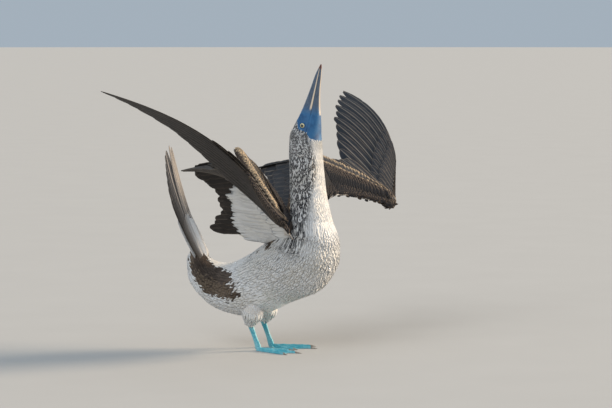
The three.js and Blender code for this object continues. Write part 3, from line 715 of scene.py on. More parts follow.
class Wing:
    """A raised wing, worked out on the left: its bones' line, its skin and the sheets of its feathers."""

    def __init__(self, side):
        joints = {name: np.array(place, float) for name, place in WINGS[side].items()}
        self.mirror = np.array([1.0, 1 if side == "l" else -1, 1])
        self.elbow, self.wrist, self.tip = joints["elbow"], joints["wrist"], joints["tip"]
        self.upper_dir = unit(self.elbow - SHOULDER)
        self.fore_dir = unit(self.wrist - self.elbow)
        self.hand_dir = unit(self.tip - self.wrist)
        self.hand_length = np.linalg.norm(self.tip - self.wrist)
        self.chord = across_from(HAND_CHORD, self.hand_dir)
        self.hand_up = np.cross(self.hand_dir, self.chord)
        self.hand = Sheet(self._hand_flat, lambda b, flat: self.arch((flat - self.wrist) @ self.hand_dir))
        self.fore = Sheet(self._fore_flat, lambda b, flat: FORE_BEND * self._bent(b))
        self.upper = Sheet(self._upper_flat, lambda b, flat: UPPER_BEND * self._bent(b))

    @staticmethod
    def _bent(b):
        """The bend of the arm's feathers, up and then down again towards their tips."""
        return np.sin(np.minimum(np.maximum(b, 0) / BEND_REACH, 1.2) * math.pi * 0.8)

    def arch(self, u):
        return HAND_ARCH * np.sin(math.pi * np.clip(u / self.hand_length, 0, 1))

    def hand_point(self, u, v, rise=0.0):
        parts = ((u, self.hand_dir), (v, self.chord), (rise, self.hand_up))
        return self.wrist + sum(np.asarray(n, float)[..., None] * axis for n, axis in parts)

    def _hand_flat(self, a, b):
        s = b / blend(*PRIMARY_LENGTH, a)
        u = blend(HAND_BONE, INNERMOST_ROOT[0], a) + b * np.cos(a * HAND_FAN)
        v = blend(HAND_EDGE, INNERMOST_ROOT[1], a) + b * np.sin(a * HAND_FAN)
        return self.hand_point(u, v + (blend(*HAND_SWEEP, a) * s * s - blend(*HAND_BOW, a) * s))

    def _fore_flat(self, a, b):
        root = blend(self.wrist, self.elbow, a[..., None])
        return root + b[..., None] * turned(OUTER_SECONDARY, TERTIAL, a)

    def _upper_flat(self, a, b):
        root = blend(self.elbow, SHOULDER, a[..., None])
        return root + b[..., None] * turned(TERTIAL, SCAPULAR, a)

    def arm(self, along, angle):
        """The skin of arm and fold: from shoulder to wrist, and round from the rear edge over the top."""
        t = np.clip(along, 0, 1)
        on_upper, on_fore = t / ELBOW_SHARE, (t - ELBOW_SHARE) / (1 - ELBOW_SHARE)
        from_shoulder = (self.elbow - SHOULDER) * np.clip(on_upper, 0, 1)[..., None]
        rear = SHOULDER + from_shoulder + (self.wrist - self.elbow) * np.clip(on_fore, 0, 1)[..., None]
        reach = FOLD_REACH - FOLD_HOLLOW * np.sin(math.pi * np.minimum(t * 1.1, 1)) ** 0.8
        inner, outer = (blend(self.elbow, end, reach[..., None]) for end in (SHOULDER, self.wrist))
        forward = blend(inner, outer, t[..., None]) - rear
        width = np.linalg.norm(forward, axis=-1)
        dorsal = unit(np.cross(self.fore_dir, self.upper_dir))
        back = across_from(turned(TERTIAL, OUTER_SECONDARY, soft(t, 0.3, 1.0)), dorsal)
        open_share = soft(width, 2, 30)[..., None]
        ahead = unit(unit(forward) * open_share - back * (1 - open_share))
        bone = np.where(t < ELBOW_SHARE, blend(*HUMERUS_RADIUS, on_upper), blend(*FOREARM_RADIUS, on_fore))
        start = rear + back * (bone * 1.25)[..., None]
        end = rear + ahead * np.maximum(width, bone * 1.2)[..., None]
        share = (1 - np.cos(angle)) / 2
        half = blend(bone, FOLD_EDGE, soft(share, 0.25, 0.8)) * np.sqrt(np.abs(np.sin(angle)))
        half = (half - ARM_COAT) * np.sign(np.sin(angle))
        camber = ARM_CAMBER * np.sin(math.pi * share) * np.sin(math.pi * t)
        shape = blend(start, end, share[..., None]) + dorsal * (half * 0.9 + camber)[..., None]
        return blend(rear, shape, rounding(t, WRIST_ROUNDING, 1)[..., None])

    def knuckle(self, along, angle):
        """The skin of the hand's bones, from before the wrist to its end, round from the rear edge."""
        u = blend(-HAND_PAST, HAND_BONE + HAND_PAST, along)
        v = blend(12.0, HAND_EDGE - 2, along)
        radius = blend(*KNUCKLE_RADIUS, along) - HAND_COAT
        radius = radius * rounding(along, 0.13, 0) * rounding(along, 0.9, 1, 0.98)
        centre = self.hand_point(u, v, self.arch(u) * along)
        round_it = self.chord * (np.cos(angle) * radius * 1.4)[..., None]
        return centre + round_it + self.hand_up * (np.sin(angle) * radius)[..., None]

    @staticmethod
    def lie(surface, along, angle, outward_share=0.25):
        """Place, outward normal and feather direction on a skin that runs round from its rear edge."""
        place = surface(along, angle)
        onward = surface(along + 0.01, angle) - surface(along - 0.01, angle)
        around = surface(along, angle + 0.02) - surface(along, angle - 0.02)
        back, over, front, under = (surface(along, turn * math.pi) for turn in (0, 0.5, 1, -0.5))
        normal = unit(np.cross(around, onward))
        normal = normal * np.sign(((place - (over + under) / 2) * normal).sum())
        side = np.sign(np.sin(angle))[..., None]
        chord = unit(back - front)
        rear = 1 - soft(1 - np.cos(angle), 0.1, 0.6)[..., None]
        level = 0.3 * side * unit(over - under) - (normal * chord).sum(-1, keepdims=True) * chord
        rearward = unit(blend(unit(around) * -side, chord, rear))
        wrapped = outward_share + 1.6 * soft(1 - np.cos(angle), 1.55, 1.95)
        return place, unit(normal + rear * level), unit(rearward + wrapped[..., None] * unit(onward))


class Quills:
    """Long feathers, each a thin closed vane with a raised shaft, shingled in rows on a sheet."""

    COLUMNS = np.array([-1, -0.68, -0.34, -0.07, 0, 0.07, 0.34, 0.68, 1])

    def __init__(self, seed, mirror=(1, 1, 1)):
        self.random = np.random.default_rng(seed)
        self.mirror = np.asarray(mirror, float)
        self.rows = []

    def add(self, sheet, count, span, lengths, widths, rise=0.0, *, lean=0.0, tip=0.2, tilt=1.0, start=-7.0,
            steps=22, shaft=1.0, vary=0.03, sway=0.1, **traits):
        """A row of feathers. Lengths, widths and traits are told as at_shares takes them."""
        t = np.linspace(0, 1, count)
        root = blend(*span, t)[:, None, None]
        pitch = abs(span[1] - span[0]) / max(count - 1, 1)
        length = (at_shares(lengths, t) * (1 - vary * self.random.random(count)))[:, None, None]
        width = at_shares(widths, t)
        lateral = sway * (self.random.random(count) - 0.5)[:, None, None] * width.mean()
        width = (width * (1 - 0.05 * self.random.random(count)))[:, None, None]
        s = (1 - (1 - np.linspace(0, 1, steps)) ** 1.25)[None, :, None]
        reach = start + s * (length - start)
        base = 0.3 + 0.7 * soft(s, 0, 0.2)
        end = rounding(s, 1 - tip, 1, 0.999)
        c = self.COLUMNS[None, None, :]
        web = np.where(c < 0, 1 - lean, 1 + lean) * 0.5 * width * base * end * self._torn(count, s, c)
        shift = (c * web + lateral * s * s) / sheet.spacing(root, reach)
        roll = -tilt * SHINGLE_STEP * shift / pitch
        ridge = np.interp(np.abs(c), [0, 0.07, 0.2], [1, 0.45, 0])
        half = VANE_HALF + shaft * ridge * blend(0.95, 0.25, s) * np.sqrt(width / 26)
        middle = rise + roll - 0.03 * width * c * c * end
        tops, bottoms = (sheet.point(root + shift, reach, middle + side * half) for side in (1, -1))
        rings = np.concatenate([tops, bottoms[:, :, ::-1]], 2) * self.mirror
        shape = rings.shape[:3]
        across = np.concatenate([self.COLUMNS, self.COLUMNS[::-1]]) * 0.5 + 0.5
        uv = np.stack([np.broadcast_to(across, shape), np.broadcast_to(s, shape)], -1)
        traits = {key: at_shares(value, t)[:, None, None] for key, value in traits.items()}
        traits["under"] = np.repeat([0.0, 1.0], len(self.COLUMNS))
        traits["tone"] = self.random.random(count)[:, None, None]
        self.rows.append((rings, uv, {key: np.broadcast_to(value, shape) for key, value in traits.items()}))

    def _torn(self, count, s, c):
        """Small gaps where the barbs of a web have parted, and the slight waves of its edge."""
        width = 1 + 0.02 * np.sin(s * 60 + 6.3 * self.random.random((count, 1, 1)))
        for side in (-1, 1):
            for _ in range(2):
                at = 0.3 + 0.65 * self.random.random((count, 1, 1))
                depth = 0.25 * self.random.random((count, 1, 1)) ** 2
                notch = depth * np.exp(-(((s - at) / 0.02) ** 2))
                width = width - notch * (np.sign(c) == side)
        return width

    @staticmethod
    def _faces(ring):
        """The faces of one feather from its grid of points, with both ends closed."""
        steps, around = ring.shape[:2]
        k = np.arange(around // 2 - 1)
        near = np.stack([k, around - 1 - k, around - 2 - k, k + 1], -1)
        far = near[:, [0, 3, 2, 1]] + (steps - 1) * around
        faces = np.concatenate([grid_faces(steps, around, wrap=True), near, far])
        return outward(ring.reshape(-1, 3), faces)[1]

    def build(self, name, material, slot, nodes):
        cells = math.ceil(math.sqrt(sum(len(rings) for rings, _, _ in self.rows)))
        batches, number = [], 0
        for rings, uv, traits in self.rows:
            count = len(rings)
            index = number + np.arange(count)
            corner = np.stack([index % cells, index // cells], -1)[:, None, None, :] / cells
            spot = uv.copy()
            spot[..., 0] = spot[..., 0] * 0.48 + 0.5 * traits["under"]
            maps = {"OFBake": corner + (0.01 + 0.98 * spot) / cells, "Vane": uv}
            batches.append({
                "points": rings.reshape(count, -1, 3),
                "faces": [self._faces(rings[count // 2])],
                "maps": {key: values.reshape(count, -1, 2) for key, values in maps.items()},
                "traits": {key: values.reshape(count, -1) for key, values in traits.items()},
            })
            number += count
        return feather_piece(name, batches, material, nodes)


def face_line(angle):
    """The section at which the feathers of the head end against the bare skin of the face."""
    degrees = np.degrees(np.abs(angle))
    return np.interp(degrees, *zip(*FACE_LINE))


def coat_depth(section, angle):
    """How far the skin lies under the outer line of the plumage."""
    depth = np.interp(section, *zip(*COAT_DEPTH))
    return depth * (1 - soft(section - face_line(angle), -0.5, 0.05))


def distance_to_line(points, start, end):
    """Distance from the points to a line between two places, seen from the bird's side."""
    points, start, end = (np.asarray(p)[..., [0, 2]] for p in (points, start, end))
    along = end - start
    share = np.clip(((points - start) @ along) / (along @ along), 0, 1)
    return np.linalg.norm(points - start - share[..., None] * along, axis=-1)


def head_relief(place):
    """Depth of the eye's hollow, the line of the mouth and the fold under it, at places on the head."""
    from_eye = np.linalg.norm(place[..., [0, 2]] - EYE[[0, 2]], axis=-1)
    on_side = soft(np.abs(place[..., 1]), 4, 8)
    hollow = 4.0 * (1 - soft(from_eye, 4.4, 6.0))
    mouth = distance_to_line(place, GAPE, MOUTH_START)
    fold = distance_to_line(place, GAPE + (3.0, 0, 1.0), MOUTH_START + (2.6, 0, 0))
    crease = 1.1 * np.exp(-((mouth / 0.7) ** 2)) - 0.5 * np.exp(-((fold / 1.3) ** 2))
    brow = -0.8 * np.exp(-(((from_eye - 8.0) / 2.2) ** 2)) * soft(EYE[0] - place[..., 0], 1, 5)
    return on_side * (hollow + crease + brow)


def skin_grid():
    """Sections and angles of the points of the body's skin."""
    trunk = np.linspace(SKIN_START, NECK_BASE, 68)
    neck = np.linspace(NECK_BASE + 0.1, HEAD_BASE, 30)
    head = np.linspace(HEAD_BASE + 0.03, SKIN_END, 120)
    around = np.linspace(-math.pi, math.pi, 160, endpoint=False)
    return np.meshgrid(np.concatenate([trunk, neck, head]), around, indexing="ij")


def body_skin():
    """The skin of trunk, neck and head, with the eye's hollow and the corner of the mouth."""
    section, angle = skin_grid()
    tucked = 0.9 * soft(section, SKIN_END - 0.2, SKIN_END)
    relief = np.where(section > HEAD_BASE + 0.2, head_relief(Body.point(section, angle)), 0)
    return tube(Body.point(section, angle, coat_depth(section, angle) + tucked + relief))


def skin_reach(x, z):
    """How far out the bare skin of the face lies at places beside the eye."""
    sections, angles = np.linspace(13, 15.8, 90), np.radians(np.linspace(40, 135, 90))
    section, angle = np.meshgrid(sections, angles, indexing="ij")
    face = Body.point(section, angle, coat_depth(section, angle)).reshape(-1, 3)
    far = (x[..., None] - face[:, 0]) ** 2 + (z[..., None] - face[:, 2]) ** 2
    return face[far.argmin(-1), 1]


def lids(side):
    """The two lids as one ring round the eye, drawn a little to a point before and behind it."""
    around = np.linspace(0, 2 * math.pi, 72, endpoint=False)[:, None]
    radius, rise = np.array(LIDS).T[:, None]
    stretch = 1 + 0.05 * np.cos(2 * around)
    x = EYE[0] + radius * stretch * np.cos(around)
    z = EYE[2] + radius * stretch * np.sin(around)
    ball = EYE[1] + np.sqrt(np.maximum(EYE_RADIUS**2 - radius**2, 1.0))
    base = blend(ball, skin_reach(x, z), soft(radius, 4.6, 7.0))
    ring = np.stack([x, side * (base + rise), z], -1)
    ring = np.concatenate([ring, ring[:1]])
    rows, columns = ring.shape[:2]
    return outward(ring.reshape(-1, 3), grid_faces(rows, columns, wrap=True))


def thigh(share, angle, side=1):
    """The skin of the thigh from hip to heel."""
    end = HEEL + unit(HIP - HEEL) * 4
    along = unit(end - HIP)
    across = across_from(np.array([0.0, 1, 0]), along)
    other = np.cross(along, across)
    radius = blend(*THIGH_RADII, share) - THIGH_HOLLOW * np.sin(math.pi * share)
    radius = np.minimum(radius, blend(*THIGH_LIMIT, share)) - THIGH_COAT
    ring = across * (radius * np.cos(angle))[..., None] + other * (radius * np.sin(angle))[..., None]
    return (HIP + (end - HIP) * share[..., None] + ring) * (1, side, 1)


def wing_skin(wing):
    """The skin of a wing's arm with its fold, and of its hand's bones."""
    angle = np.linspace(-math.pi, math.pi, ARM_SIDES, endpoint=False) + 0.01
    along, around = np.meshgrid(np.linspace(0, 1, ARM_ROWS), angle, indexing="ij")
    arm = tube(wing.arm(along, around) * wing.mirror)
    hand = tube(wing.knuckle(along[::2], around[::2]) * wing.mirror)
    return [arm, hand]


def make_skin():
    """The skin of body, thighs and arms with the lids, and with the brown of its plumage marked on it."""
    shares, angles = np.linspace(0, 1, 24), np.linspace(0, 2 * math.pi, 40, endpoint=False)
    share, around = np.meshgrid(shares, angles, indexing="ij")
    parts = [body_skin(), lids(1), lids(-1)]
    parts += [tube(thigh(share, around, side)) for side in (1, -1)]
    for side in "lr":
        parts += wing_skin(Wing(side))
    points, quads, triangles = joined(parts)
    nodes = ("torso", "neck", "head", "thigh_l", "thigh_r")
    piece = mesh_piece("skin", points, [quads, triangles], [face_material()], nodes)
    turn = np.arctan2(points[:, 1], points[:, 0] - MAP_AXIS) / (2 * math.pi) + 0.5
    set_map(piece, "OFBake", map_places(turn, np.clip(points[:, 2] / MAP_HEIGHT, 0, 1)))
    dark, streak, _ = body_marks(*skin_grid())
    end_points = [0, 0]
    body = np.append(np.maximum(dark, 0.7 * streak), end_points)
    arm = np.append(np.tile(np.repeat([0, 1], ARM_SIDES // 2), ARM_ROWS), end_points)
    # In the order of the parts: body, two pairs of lids, two thighs, then arm and hand of both wings.
    marks = [body, 0, 0, 0, 0, arm, 1, arm, 1]
    spread = [np.broadcast_to(mark, len(part[0])) for mark, part in zip(marks, parts)]
    set_attribute(piece, "dark", np.concatenate(spread))


def body_marks(section, angle):
    """The shares of dark, of dark streaks and of pale tips in the plumage at places on the body."""
    a = np.degrees(np.abs(angle))
    front = np.interp(section, *zip(*STREAK_LINE))
    streak = soft(section, *STREAK_SECTIONS) * (1 - soft(a, front - 12, front + 10))
    tongue = window(section, *TONGUE_SECTIONS) * window(a, TONGUE_BEGINS, (front - 10, front + 5))
    mantle = window(section, *MANTLE_SECTIONS) * (1 - soft(a, *MANTLE_ENDS))
    # The brown of the flanks begins nearer to the back towards the tail.
    upper = 4 + (section - 1.3) * 15
    flank = window(section, *FLANK_SECTIONS) * window(a, (upper - 4, upper + 6), FLANK_ENDS)
    return np.maximum(mantle, flank), np.maximum(streak, 0.8 * tongue), 0.6 * mantle + 0.2 * flank


def body_coat(name, low, high, spacing, length, slenderness, seed):
    """The small feathers between two sections of the body."""
    feathered = lambda section, angle: (section < face_line(angle) + 0.03).astype(float)
    surface = lambda section, angle: Body.point(section, angle, coat_depth(section, angle))
    section, angle = scatter(surface, ((low, high), (-math.pi, math.pi)), spacing, feathered)
    plumes = Plumes(seed)
    roll = plumes.random.random((5, len(section)))
    depth = coat_depth(section, angle)
    _, normal, lie = Body.lie(section, angle)
    long = length(section, angle) * (0.85 + 0.3 * roll[0])
    dark, streak, tipped = body_marks(section, angle)
    plumes.add(
        Body.point(section, angle, 0.8 * depth),
        normal,
        swayed(lie, normal, 0.3, roll[1]),
        long,
        long * slenderness,
        map_places(angle / (2 * math.pi) + 0.5, (section - low) / (high - low)),
        lift=(0.15 * depth + 0.1) / long,
        curl=0.01 + 0.01 * roll[2],
        crown=0.03,
        thick=0.12 + 0.005 * long,
        dark=roll[3] < dark,
        streak=np.clip(streak * (0.7 + 0.6 * roll[4]), 0, 1) * (roll[4] > 0.3),
        tipped=tipped,
        tone=roll[2],
    )
    plumes.build(name, coat_material(name), "streaked_feathers" if low >= NECK_BASE else "white_feathers")


def make_body_coat():
    """The small feathers of trunk, neck and head, which grow shorter towards the face."""
    trunk = lambda section, angle: np.interp(section, [0, 2, 6, NECK_BASE], [18, 25, 25, 17])
    neck = lambda section, angle: np.interp(section, [NECK_BASE, HEAD_BASE], [12.5, 9.0])
    head = lambda section, angle: 3.4 + 5.0 * np.clip(face_line(angle) - section, 0, 1.6) / 1.6
    body_coat("coat_rear", 0.75, 3.9, 3.0, trunk, 0.24, 21)
    body_coat("coat_flanks", 3.85, 6.1, 3.0, trunk, 0.22, 22)
    body_coat("coat_breast", 6.05, 9.1, 2.9, trunk, 0.24, 23)
    body_coat("coat_neck", 9.0, 12.05, 2.5, neck, 0.3, 24)
    body_coat("coat_head", 11.95, 15.12, 1.55, head, 0.36, 25)


def make_thigh_coat():
    """The small white feathers of both thighs."""
    plumes = Plumes(31)
    for side in (1, -1):
        surface = lambda share, angle: thigh(share, angle, side)
        share, angle = scatter(surface, ((0.08, 1.0), (0, 2 * math.pi)), 2.6, cells=(60, 60))
        place = surface(share, angle)
        normal = unit(place - (place + surface(share, angle + math.pi)) / 2)
        lie = across_from(unit(HEEL - HIP) * (1, side, 1), normal)
        roll = plumes.random.random((3, len(share)))
        long = blend(14, 8, share) * (0.85 + 0.3 * roll[0])
        bake = map_places(angle / (2 * math.pi), share, (0.52 if side > 0 else 0.02, 0.46))
        plumes.add(place, normal, swayed(lie, normal, 0.3, roll[1]), long, long * 0.42, bake,
                   lift=0.06, curl=0.03, dark=0, streak=0, tipped=0, tone=roll[2])
    plumes.build("coat_thighs", coat_material("coat_thighs"), "white_feathers")


def arm_plumes(wing, plumes):
    """The small feathers over and under a wing's arm and its fold of skin."""
    along, angle = scatter(wing.arm, ((0.03, 1.0), (-math.pi, math.pi)), 3.1)
    place, normal, lie = wing.lie(wing.arm, along, angle)
    roll = plumes.random.random((4, len(along)))
    share = (1 - np.cos(angle)) / 2
    over = (angle > 0).astype(float)
    long = blend(20, 12, soft(share, 0.1, 0.5)) * (0.9 + 0.2 * roll[0])
    white = (1 - over) * window(share, (0.06, 0.14), (0.8, 0.9)) * (1 - soft(along, 0.93, 1.0))
    # Painted sunlight: near the arm's rear edge the upper side gets pale tips, is a little less dark and has
    # fewer streaks, as if lit by a low sun.
    painted_sunlight = over * (1 - soft(share, 0.28, 0.42))
    bake = map_places(angle / (2 * math.pi) + 0.5, along, up_span=(0.02, 0.6))
    plumes.add(place, normal, lie, long, long * 0.46, bake, lift=0.8 / long, curl=0.03, crown=0.06,
               dark=(roll[1] < 1 - white) * (1 - 0.12 * painted_sunlight), streak=over * (1 - 0.8 * painted_sunlight),
               tipped=painted_sunlight, tone=roll[2])


def hand_plumes(wing, plumes):
    """The small brown feathers round the bones of a wing's hand."""
    along, angle = scatter(wing.knuckle, ((0.0, 1.0), (-math.pi, math.pi)), 2.4, cells=(60, 60))
    place, normal, lie = wing.lie(wing.knuckle, along, angle, 2.4)
    roll = plumes.random.random((4, len(along)))
    long = blend(9, 7, along) * (0.9 + 0.2 * roll[0])
    bake = map_places(angle / (2 * math.pi) + 0.5, along, up_span=(0.66, 0.3))
    plumes.add(place, normal, lie, long, long * 0.4, bake, lift=0.5 / long, curl=0.02, crown=0.06,
               dark=1, streak=0.9, tipped=0.15, tone=roll[2])


def lining_plumes(wing, plumes):
    """The soft white feathers under the arm, which leave the tips of the long feathers bare."""
    deep = lambda a: 8 + 54 * soft(a, 0.1, 0.5) + 32 * soft(a, 0.5, 1)
    # Each sheet, the lining's rise over it and reach, the share of the way where it ends, and of white.
    sheets = ((wing.upper, -6.5, deep, 1.18, 1.0), (wing.fore, -5.5, 20, 1.0, 0.6))
    for sheet, rise, far, last, white in sheets:
        surface = lambda a, b: sheet.point(a, b * at_shares(far, a), rise + 3.5 * b)
        a, b = scatter(surface, ((0.0, last), (-0.06, 0.82)), 3.6, cells=(60, 40))
        place = surface(a, b)
        lie = unit(surface(a, b + 0.01) - surface(a, b - 0.01))
        normal = -sheet.normal(a, b * at_shares(far, a))
        roll = plumes.random.random((4, len(a)))
        long = 24 * (0.75 + 0.5 * roll[0])
        bake = map_places(a, np.clip(b, 0, 1), (0.02, 0.8), (0.7, 0.28))
        lie = swayed(lie, normal, 0.22, roll[1])
        plumes.add(place, normal, lie, long, long * 0.4, bake, lift=0.02, curl=0.04, crown=0.06,
                   dark=roll[3] > white, streak=0, tipped=0, tone=roll[2])


def wing_coat(side):
    """The small feathers on a wing's arm, skin fold and hand, over and under."""
    wing = Wing(side)
    plumes = Plumes(41 if side == "l" else 42, wing.mirror)
    for add_plumes in (arm_plumes, hand_plumes, lining_plumes):
        add_plumes(wing, plumes)
    name = "coat_wing_" + side
    plumes.build(name, coat_material(name), "wing_feathers")


def hand_rows():
    """The long feathers of the hand, then their coverts over and under them."""
    greater = dict(count=10, span=(0.03, 1.02), widths=(19, 26), lean=0.2, tip=0.3, vary=0.08, quill=0.2)
    lesser = dict(count=13, span=(0.0, 1.05), widths=(14, 19), lean=0.1, tip=0.35, start=-5, steps=14,
                  vary=0.15, quill=0.1)
    return (
        dict(count=10, span=(0, 1), lengths=lambda t: blend(295, 149, t**0.9), widths=(24, 34), lean=0.3,
             tip=0.24, steps=34, shaft=1.3, pale=0.0, edge=0.08, quill=0.35),
        dict(greater, lengths=(104, 62), rise=3.0, pale=0.02, edge=0.15),
        dict(lesser, lengths=(64, 44), rise=4.6, pale=0.04, edge=0.2),
        dict(greater, lengths=(96, 58), rise=-3.0, pale=0.03, edge=0.04),
        dict(lesser, lengths=(58, 40), rise=-4.6, pale=0.05, edge=0.05),
    )


def fore_rows():
    """The long feathers of the forearm, then three rows of coverts over them and two under them."""
    lesser = dict(count=21, span=(0.03, 0.98), widths=17, start=-5, steps=14, vary=0.2, quill=0.1)
    greater = dict(count=18, span=(0.04, 0.98), widths=21, lean=0.2)
    return (
        dict(count=18, span=(0.02, 1.0), lengths=lambda t: 135 - 20 * abs(t - 0.4), widths=25, lean=0.25,
             tip=0.12, vary=0.08, pale=0.04, edge=0.25, quill=0.3),
        dict(greater, lengths=72, rise=3.2, tip=0.22, start=-5, vary=0.12, pale=0.03, edge=0.35, quill=0.1),
        dict(lesser, lengths=52, rise=5.0, tip=0.28, pale=0.06, edge=0.7),
        dict(lesser, count=26, lengths=37, widths=13, rise=6.6, tip=0.3, start=-4, steps=12, vary=0.25,
             pale=0.1, edge=0.85),
        dict(greater, lengths=78, rise=-3.0, tip=0.25, vary=0.15, pale=0.1, edge=0.3, quill=0.2),
        dict(lesser, lengths=50, rise=-4.8, tip=0.3, pale=0.4, edge=0.3),
    )


def upper_rows():
    """The inner feathers of the upper arm, their coverts over them, and the white plumes under them."""
    return (
        dict(count=14, span=(0.0, 1.0), lengths=lambda t: blend(107, 156, t * t) - 26 * np.sin(math.pi * t),
             widths=27, lean=0.1, tip=0.16, vary=0.1, pale=0.02, edge=0.12, quill=0.3),
        dict(count=14, span=(0.02, 0.96), lengths=78, widths=24, rise=3.6, lean=0.1, tip=0.25, start=-6,
             vary=0.12, pale=0.03, edge=0.08, quill=0.1),
        dict(count=16, span=(0.02, 0.96), lengths=56, widths=19, rise=5.6, tip=0.3, start=-5, steps=14,
             vary=0.2, pale=0.03, edge=0.08, quill=0.1),
        dict(count=18, span=(0.03, 1.0), lengths=lambda t: 32 + 56 * soft(t, 0.1, 0.8), widths=21, rise=-3.4,
             lean=0.1, tip=0.45, start=-6, vary=0.3, sway=0.5, shaft=0.4,
             pale=lambda t: 0.35 + 0.6 * soft(t, 0.1, 0.5), edge=0.0, quill=0.0),
    )


def make_wing(side):
    """The long feathers of one wing in their rows: hand, forearm and upper arm."""
    wing = Wing(side)
    material = flight_material("flight_" + side)
    pieces = (
        ("primaries_", "wing_hand_", wing.hand, hand_rows(), 51),
        ("secondaries_", "wing_fore_", wing.fore, fore_rows(), 61),
        ("inner_feathers_", "wing_upper_", wing.upper, upper_rows(), 71),
    )
    for name, node, sheet, rows, seed in pieces:
        quills = Quills(seed + (side == "r"), wing.mirror)
        for row in rows:
            quills.add(sheet, **row)
        quills.build(name + side, material, "flight_feathers", [node + side])


def tail_sheet(side):
    """The sheet of one half of the tail, or with no side that of the middle pair."""
    along = unit(TAIL_TIP - TAIL_ROOT)
    up = unit(np.cross([0.0, 1, 0], along))
    out, roof = (side or 1), (TAIL_ROOF if side else 0.0)
    spread = unit(np.array([0.0, out, 0]) - roof * up)

    def flat(a, b):
        across = a * (TAIL_ROOT_HALF + b * math.tan(TAIL_FAN))
        return TAIL_ROOT + b[..., None] * along + spread * across[..., None]

    bend = lambda b, flat: TAIL_RISE - TAIL_BOW * np.sin(np.maximum(b, 0) / TAIL_LENGTH * math.pi)
    return Sheet(flat, bend, -out)


def tail_rows(side):
    """The rows of one half of the tail and its coverts over and under, or those of the middle pair."""
    if side:
        return (
            dict(count=7, span=(0.24, 1.0), lengths=lambda t: TAIL_LENGTH * (0.965 - 0.41 * t**1.3),
                 widths=(20, 16), tip=0.34, steps=30, shaft=1.2, pale=(0.35, 0.0), edge=0.2, quill=0.9),
            dict(count=6, span=(0.2, 1.0), lengths=(88, 68), widths=(19, 16), rise=4.4, tip=0.4, vary=0.1,
                 pale=(0.75, 0.1), edge=0.3, quill=0.3),
            dict(count=6, span=(0.2, 1.0), lengths=(92, 76), widths=(20, 17), rise=-4.4, tip=0.4,
                 pale=1.0, edge=0.1, quill=0.2),
        )
    return (
        dict(count=2, span=(-0.12, 0.12), lengths=TAIL_LENGTH * 0.995, widths=12, rise=1.6, tip=0.5,
             steps=30, shaft=1.4, pale=0.35, edge=0.3, quill=1.0),
        dict(count=3, span=(-0.14, 0.14), lengths=74, widths=14, rise=3.6, tip=0.5, vary=0.2, pale=0.95,
             edge=0.1, quill=0.3),
    )


def make_tail():
    """The long feathers of the tail with their coverts."""
    quills = Quills(81)
    for side in (1, -1, 0):
        for row in tail_rows(side):
            quills.add(tail_sheet(side), tilt=-1, start=-8, **row)
    quills.build("tail_feathers", flight_material("tail_feathers"), "tail_feathers", ["tail"])


def mouth_angle(sections):
    """The angle from the back at which each section of the bill meets the mouth, and the way up from it."""
    along = unit(MOUTH_END - MOUTH_START)
    up = np.array([-along[2], 0, along[0]])
    angle = np.linspace(0, math.pi, 400)
    section, angles = np.meshgrid(sections, angle, indexing="ij")
    height = (Body.point(section, angles) - MOUTH_START) @ up
    return np.array([np.interp(0, row[::-1], angle[::-1]) for row in height]), up


def make_bill(upper):
    """One half of the bill, with the groove along its side, its cutting edge and a hollowed inside."""
    sections = np.linspace(BILL_START, BILL_END, 110)
    crossing, up = mouth_angle(sections)
    crossing = crossing[:, None]
    q = np.linspace(-1, 1, 61)[None]
    side = np.abs(q)
    angle = crossing * q if upper else math.pi + (math.pi - crossing) * q
    section = np.broadcast_to(sections[:, None], angle.shape)
    along = (section - BILL_START) / (BILL_END - BILL_START)
    fade = window(along, (0.1, 0.2), (0.82, 0.95))
    depth = GROOVE_DEPTH * (1 if upper else 0.5)
    groove = depth * np.exp(-(((side - GROOVE_AT) / GROOVE_WIDTH) ** 2)) * fade
    lip = -0.22 * soft(side, 0.86, 0.95) * fade
    saw = 0.07 * np.sin(section * 90) * soft(side, 0.94, 1) * soft(along, 0.3, 0.6)
    sunk = 0.9 * (1 - soft(along, 0.02, 0.09))
    outer = Body.point(section, angle, groove + lip + saw + sunk)
    inward = up * (1 if upper else -1)
    outer = outer + inward * 0.16 * (side > 0.98)[..., None]
    share = np.linspace(0, 1, 9)[None, 1:-1, None]
    gap = outer[:, :1] - outer[:, -1:]
    hollow = np.linalg.norm(gap, axis=-1, keepdims=True) * 0.16
    inner = outer[:, -1:] + gap * share + inward * hollow * np.sin(math.pi * share)
    rings = np.concatenate([outer, inner], 1)
    points, quads, triangles = tube(rings)
    node = "bill_upper" if upper else "bill_lower"
    horn = [bill_material(upper)]
    piece = mesh_piece("horn_" + node, points, [quads, triangles], horn, [node])
    edge = np.concatenate([side[0], np.ones(share.size)])
    turn = np.linspace(0.02, 0.98, rings.shape[1])
    for name, across, up_map, ends in (
        ("Vane", edge, along[:, :1], [[0.5, 0], [0.5, 1]]),
        ("OFBake", turn, 0.02 + 0.96 * along[:, :1], [[0.5, 0.01], [0.5, 0.99]]),
    ):
        grid = np.stack(np.broadcast_arrays(across[None], up_map), -1).reshape(-1, 2)
        set_map(piece, name, np.concatenate([grid, ends]))


def make_eye(side):
    """An eyeball in rings round its own axis, so that pupil and iris have round edges."""
    latitude = np.concatenate([np.linspace(0.02, 0.8, 40), np.linspace(0.85, math.pi - 0.05, 24)])
    around = np.linspace(0, 2 * math.pi, 64, endpoint=False)
    tilt, turn = np.meshgrid(latitude, around, indexing="ij")
    ring = np.stack([np.sin(tilt) * np.cos(turn), np.cos(tilt) * side, np.sin(tilt) * np.sin(turn)], -1)
    centre = EYE * (1, side, 1)
    points, quads, triangles = tube(centre + ring * (EYE_RADIUS - 0.12))
    name = "eye_l" if side > 0 else "eye_r"
    piece = mesh_piece("glazed_" + name, points, [quads, triangles], [eye_material()], [name])
    away = np.linalg.norm((points - centre)[:, [0, 2]], axis=-1)
    set_attribute(piece, "from_axis", np.where(points[:, 1] * side > EYE[1], away, EYE_BACK))


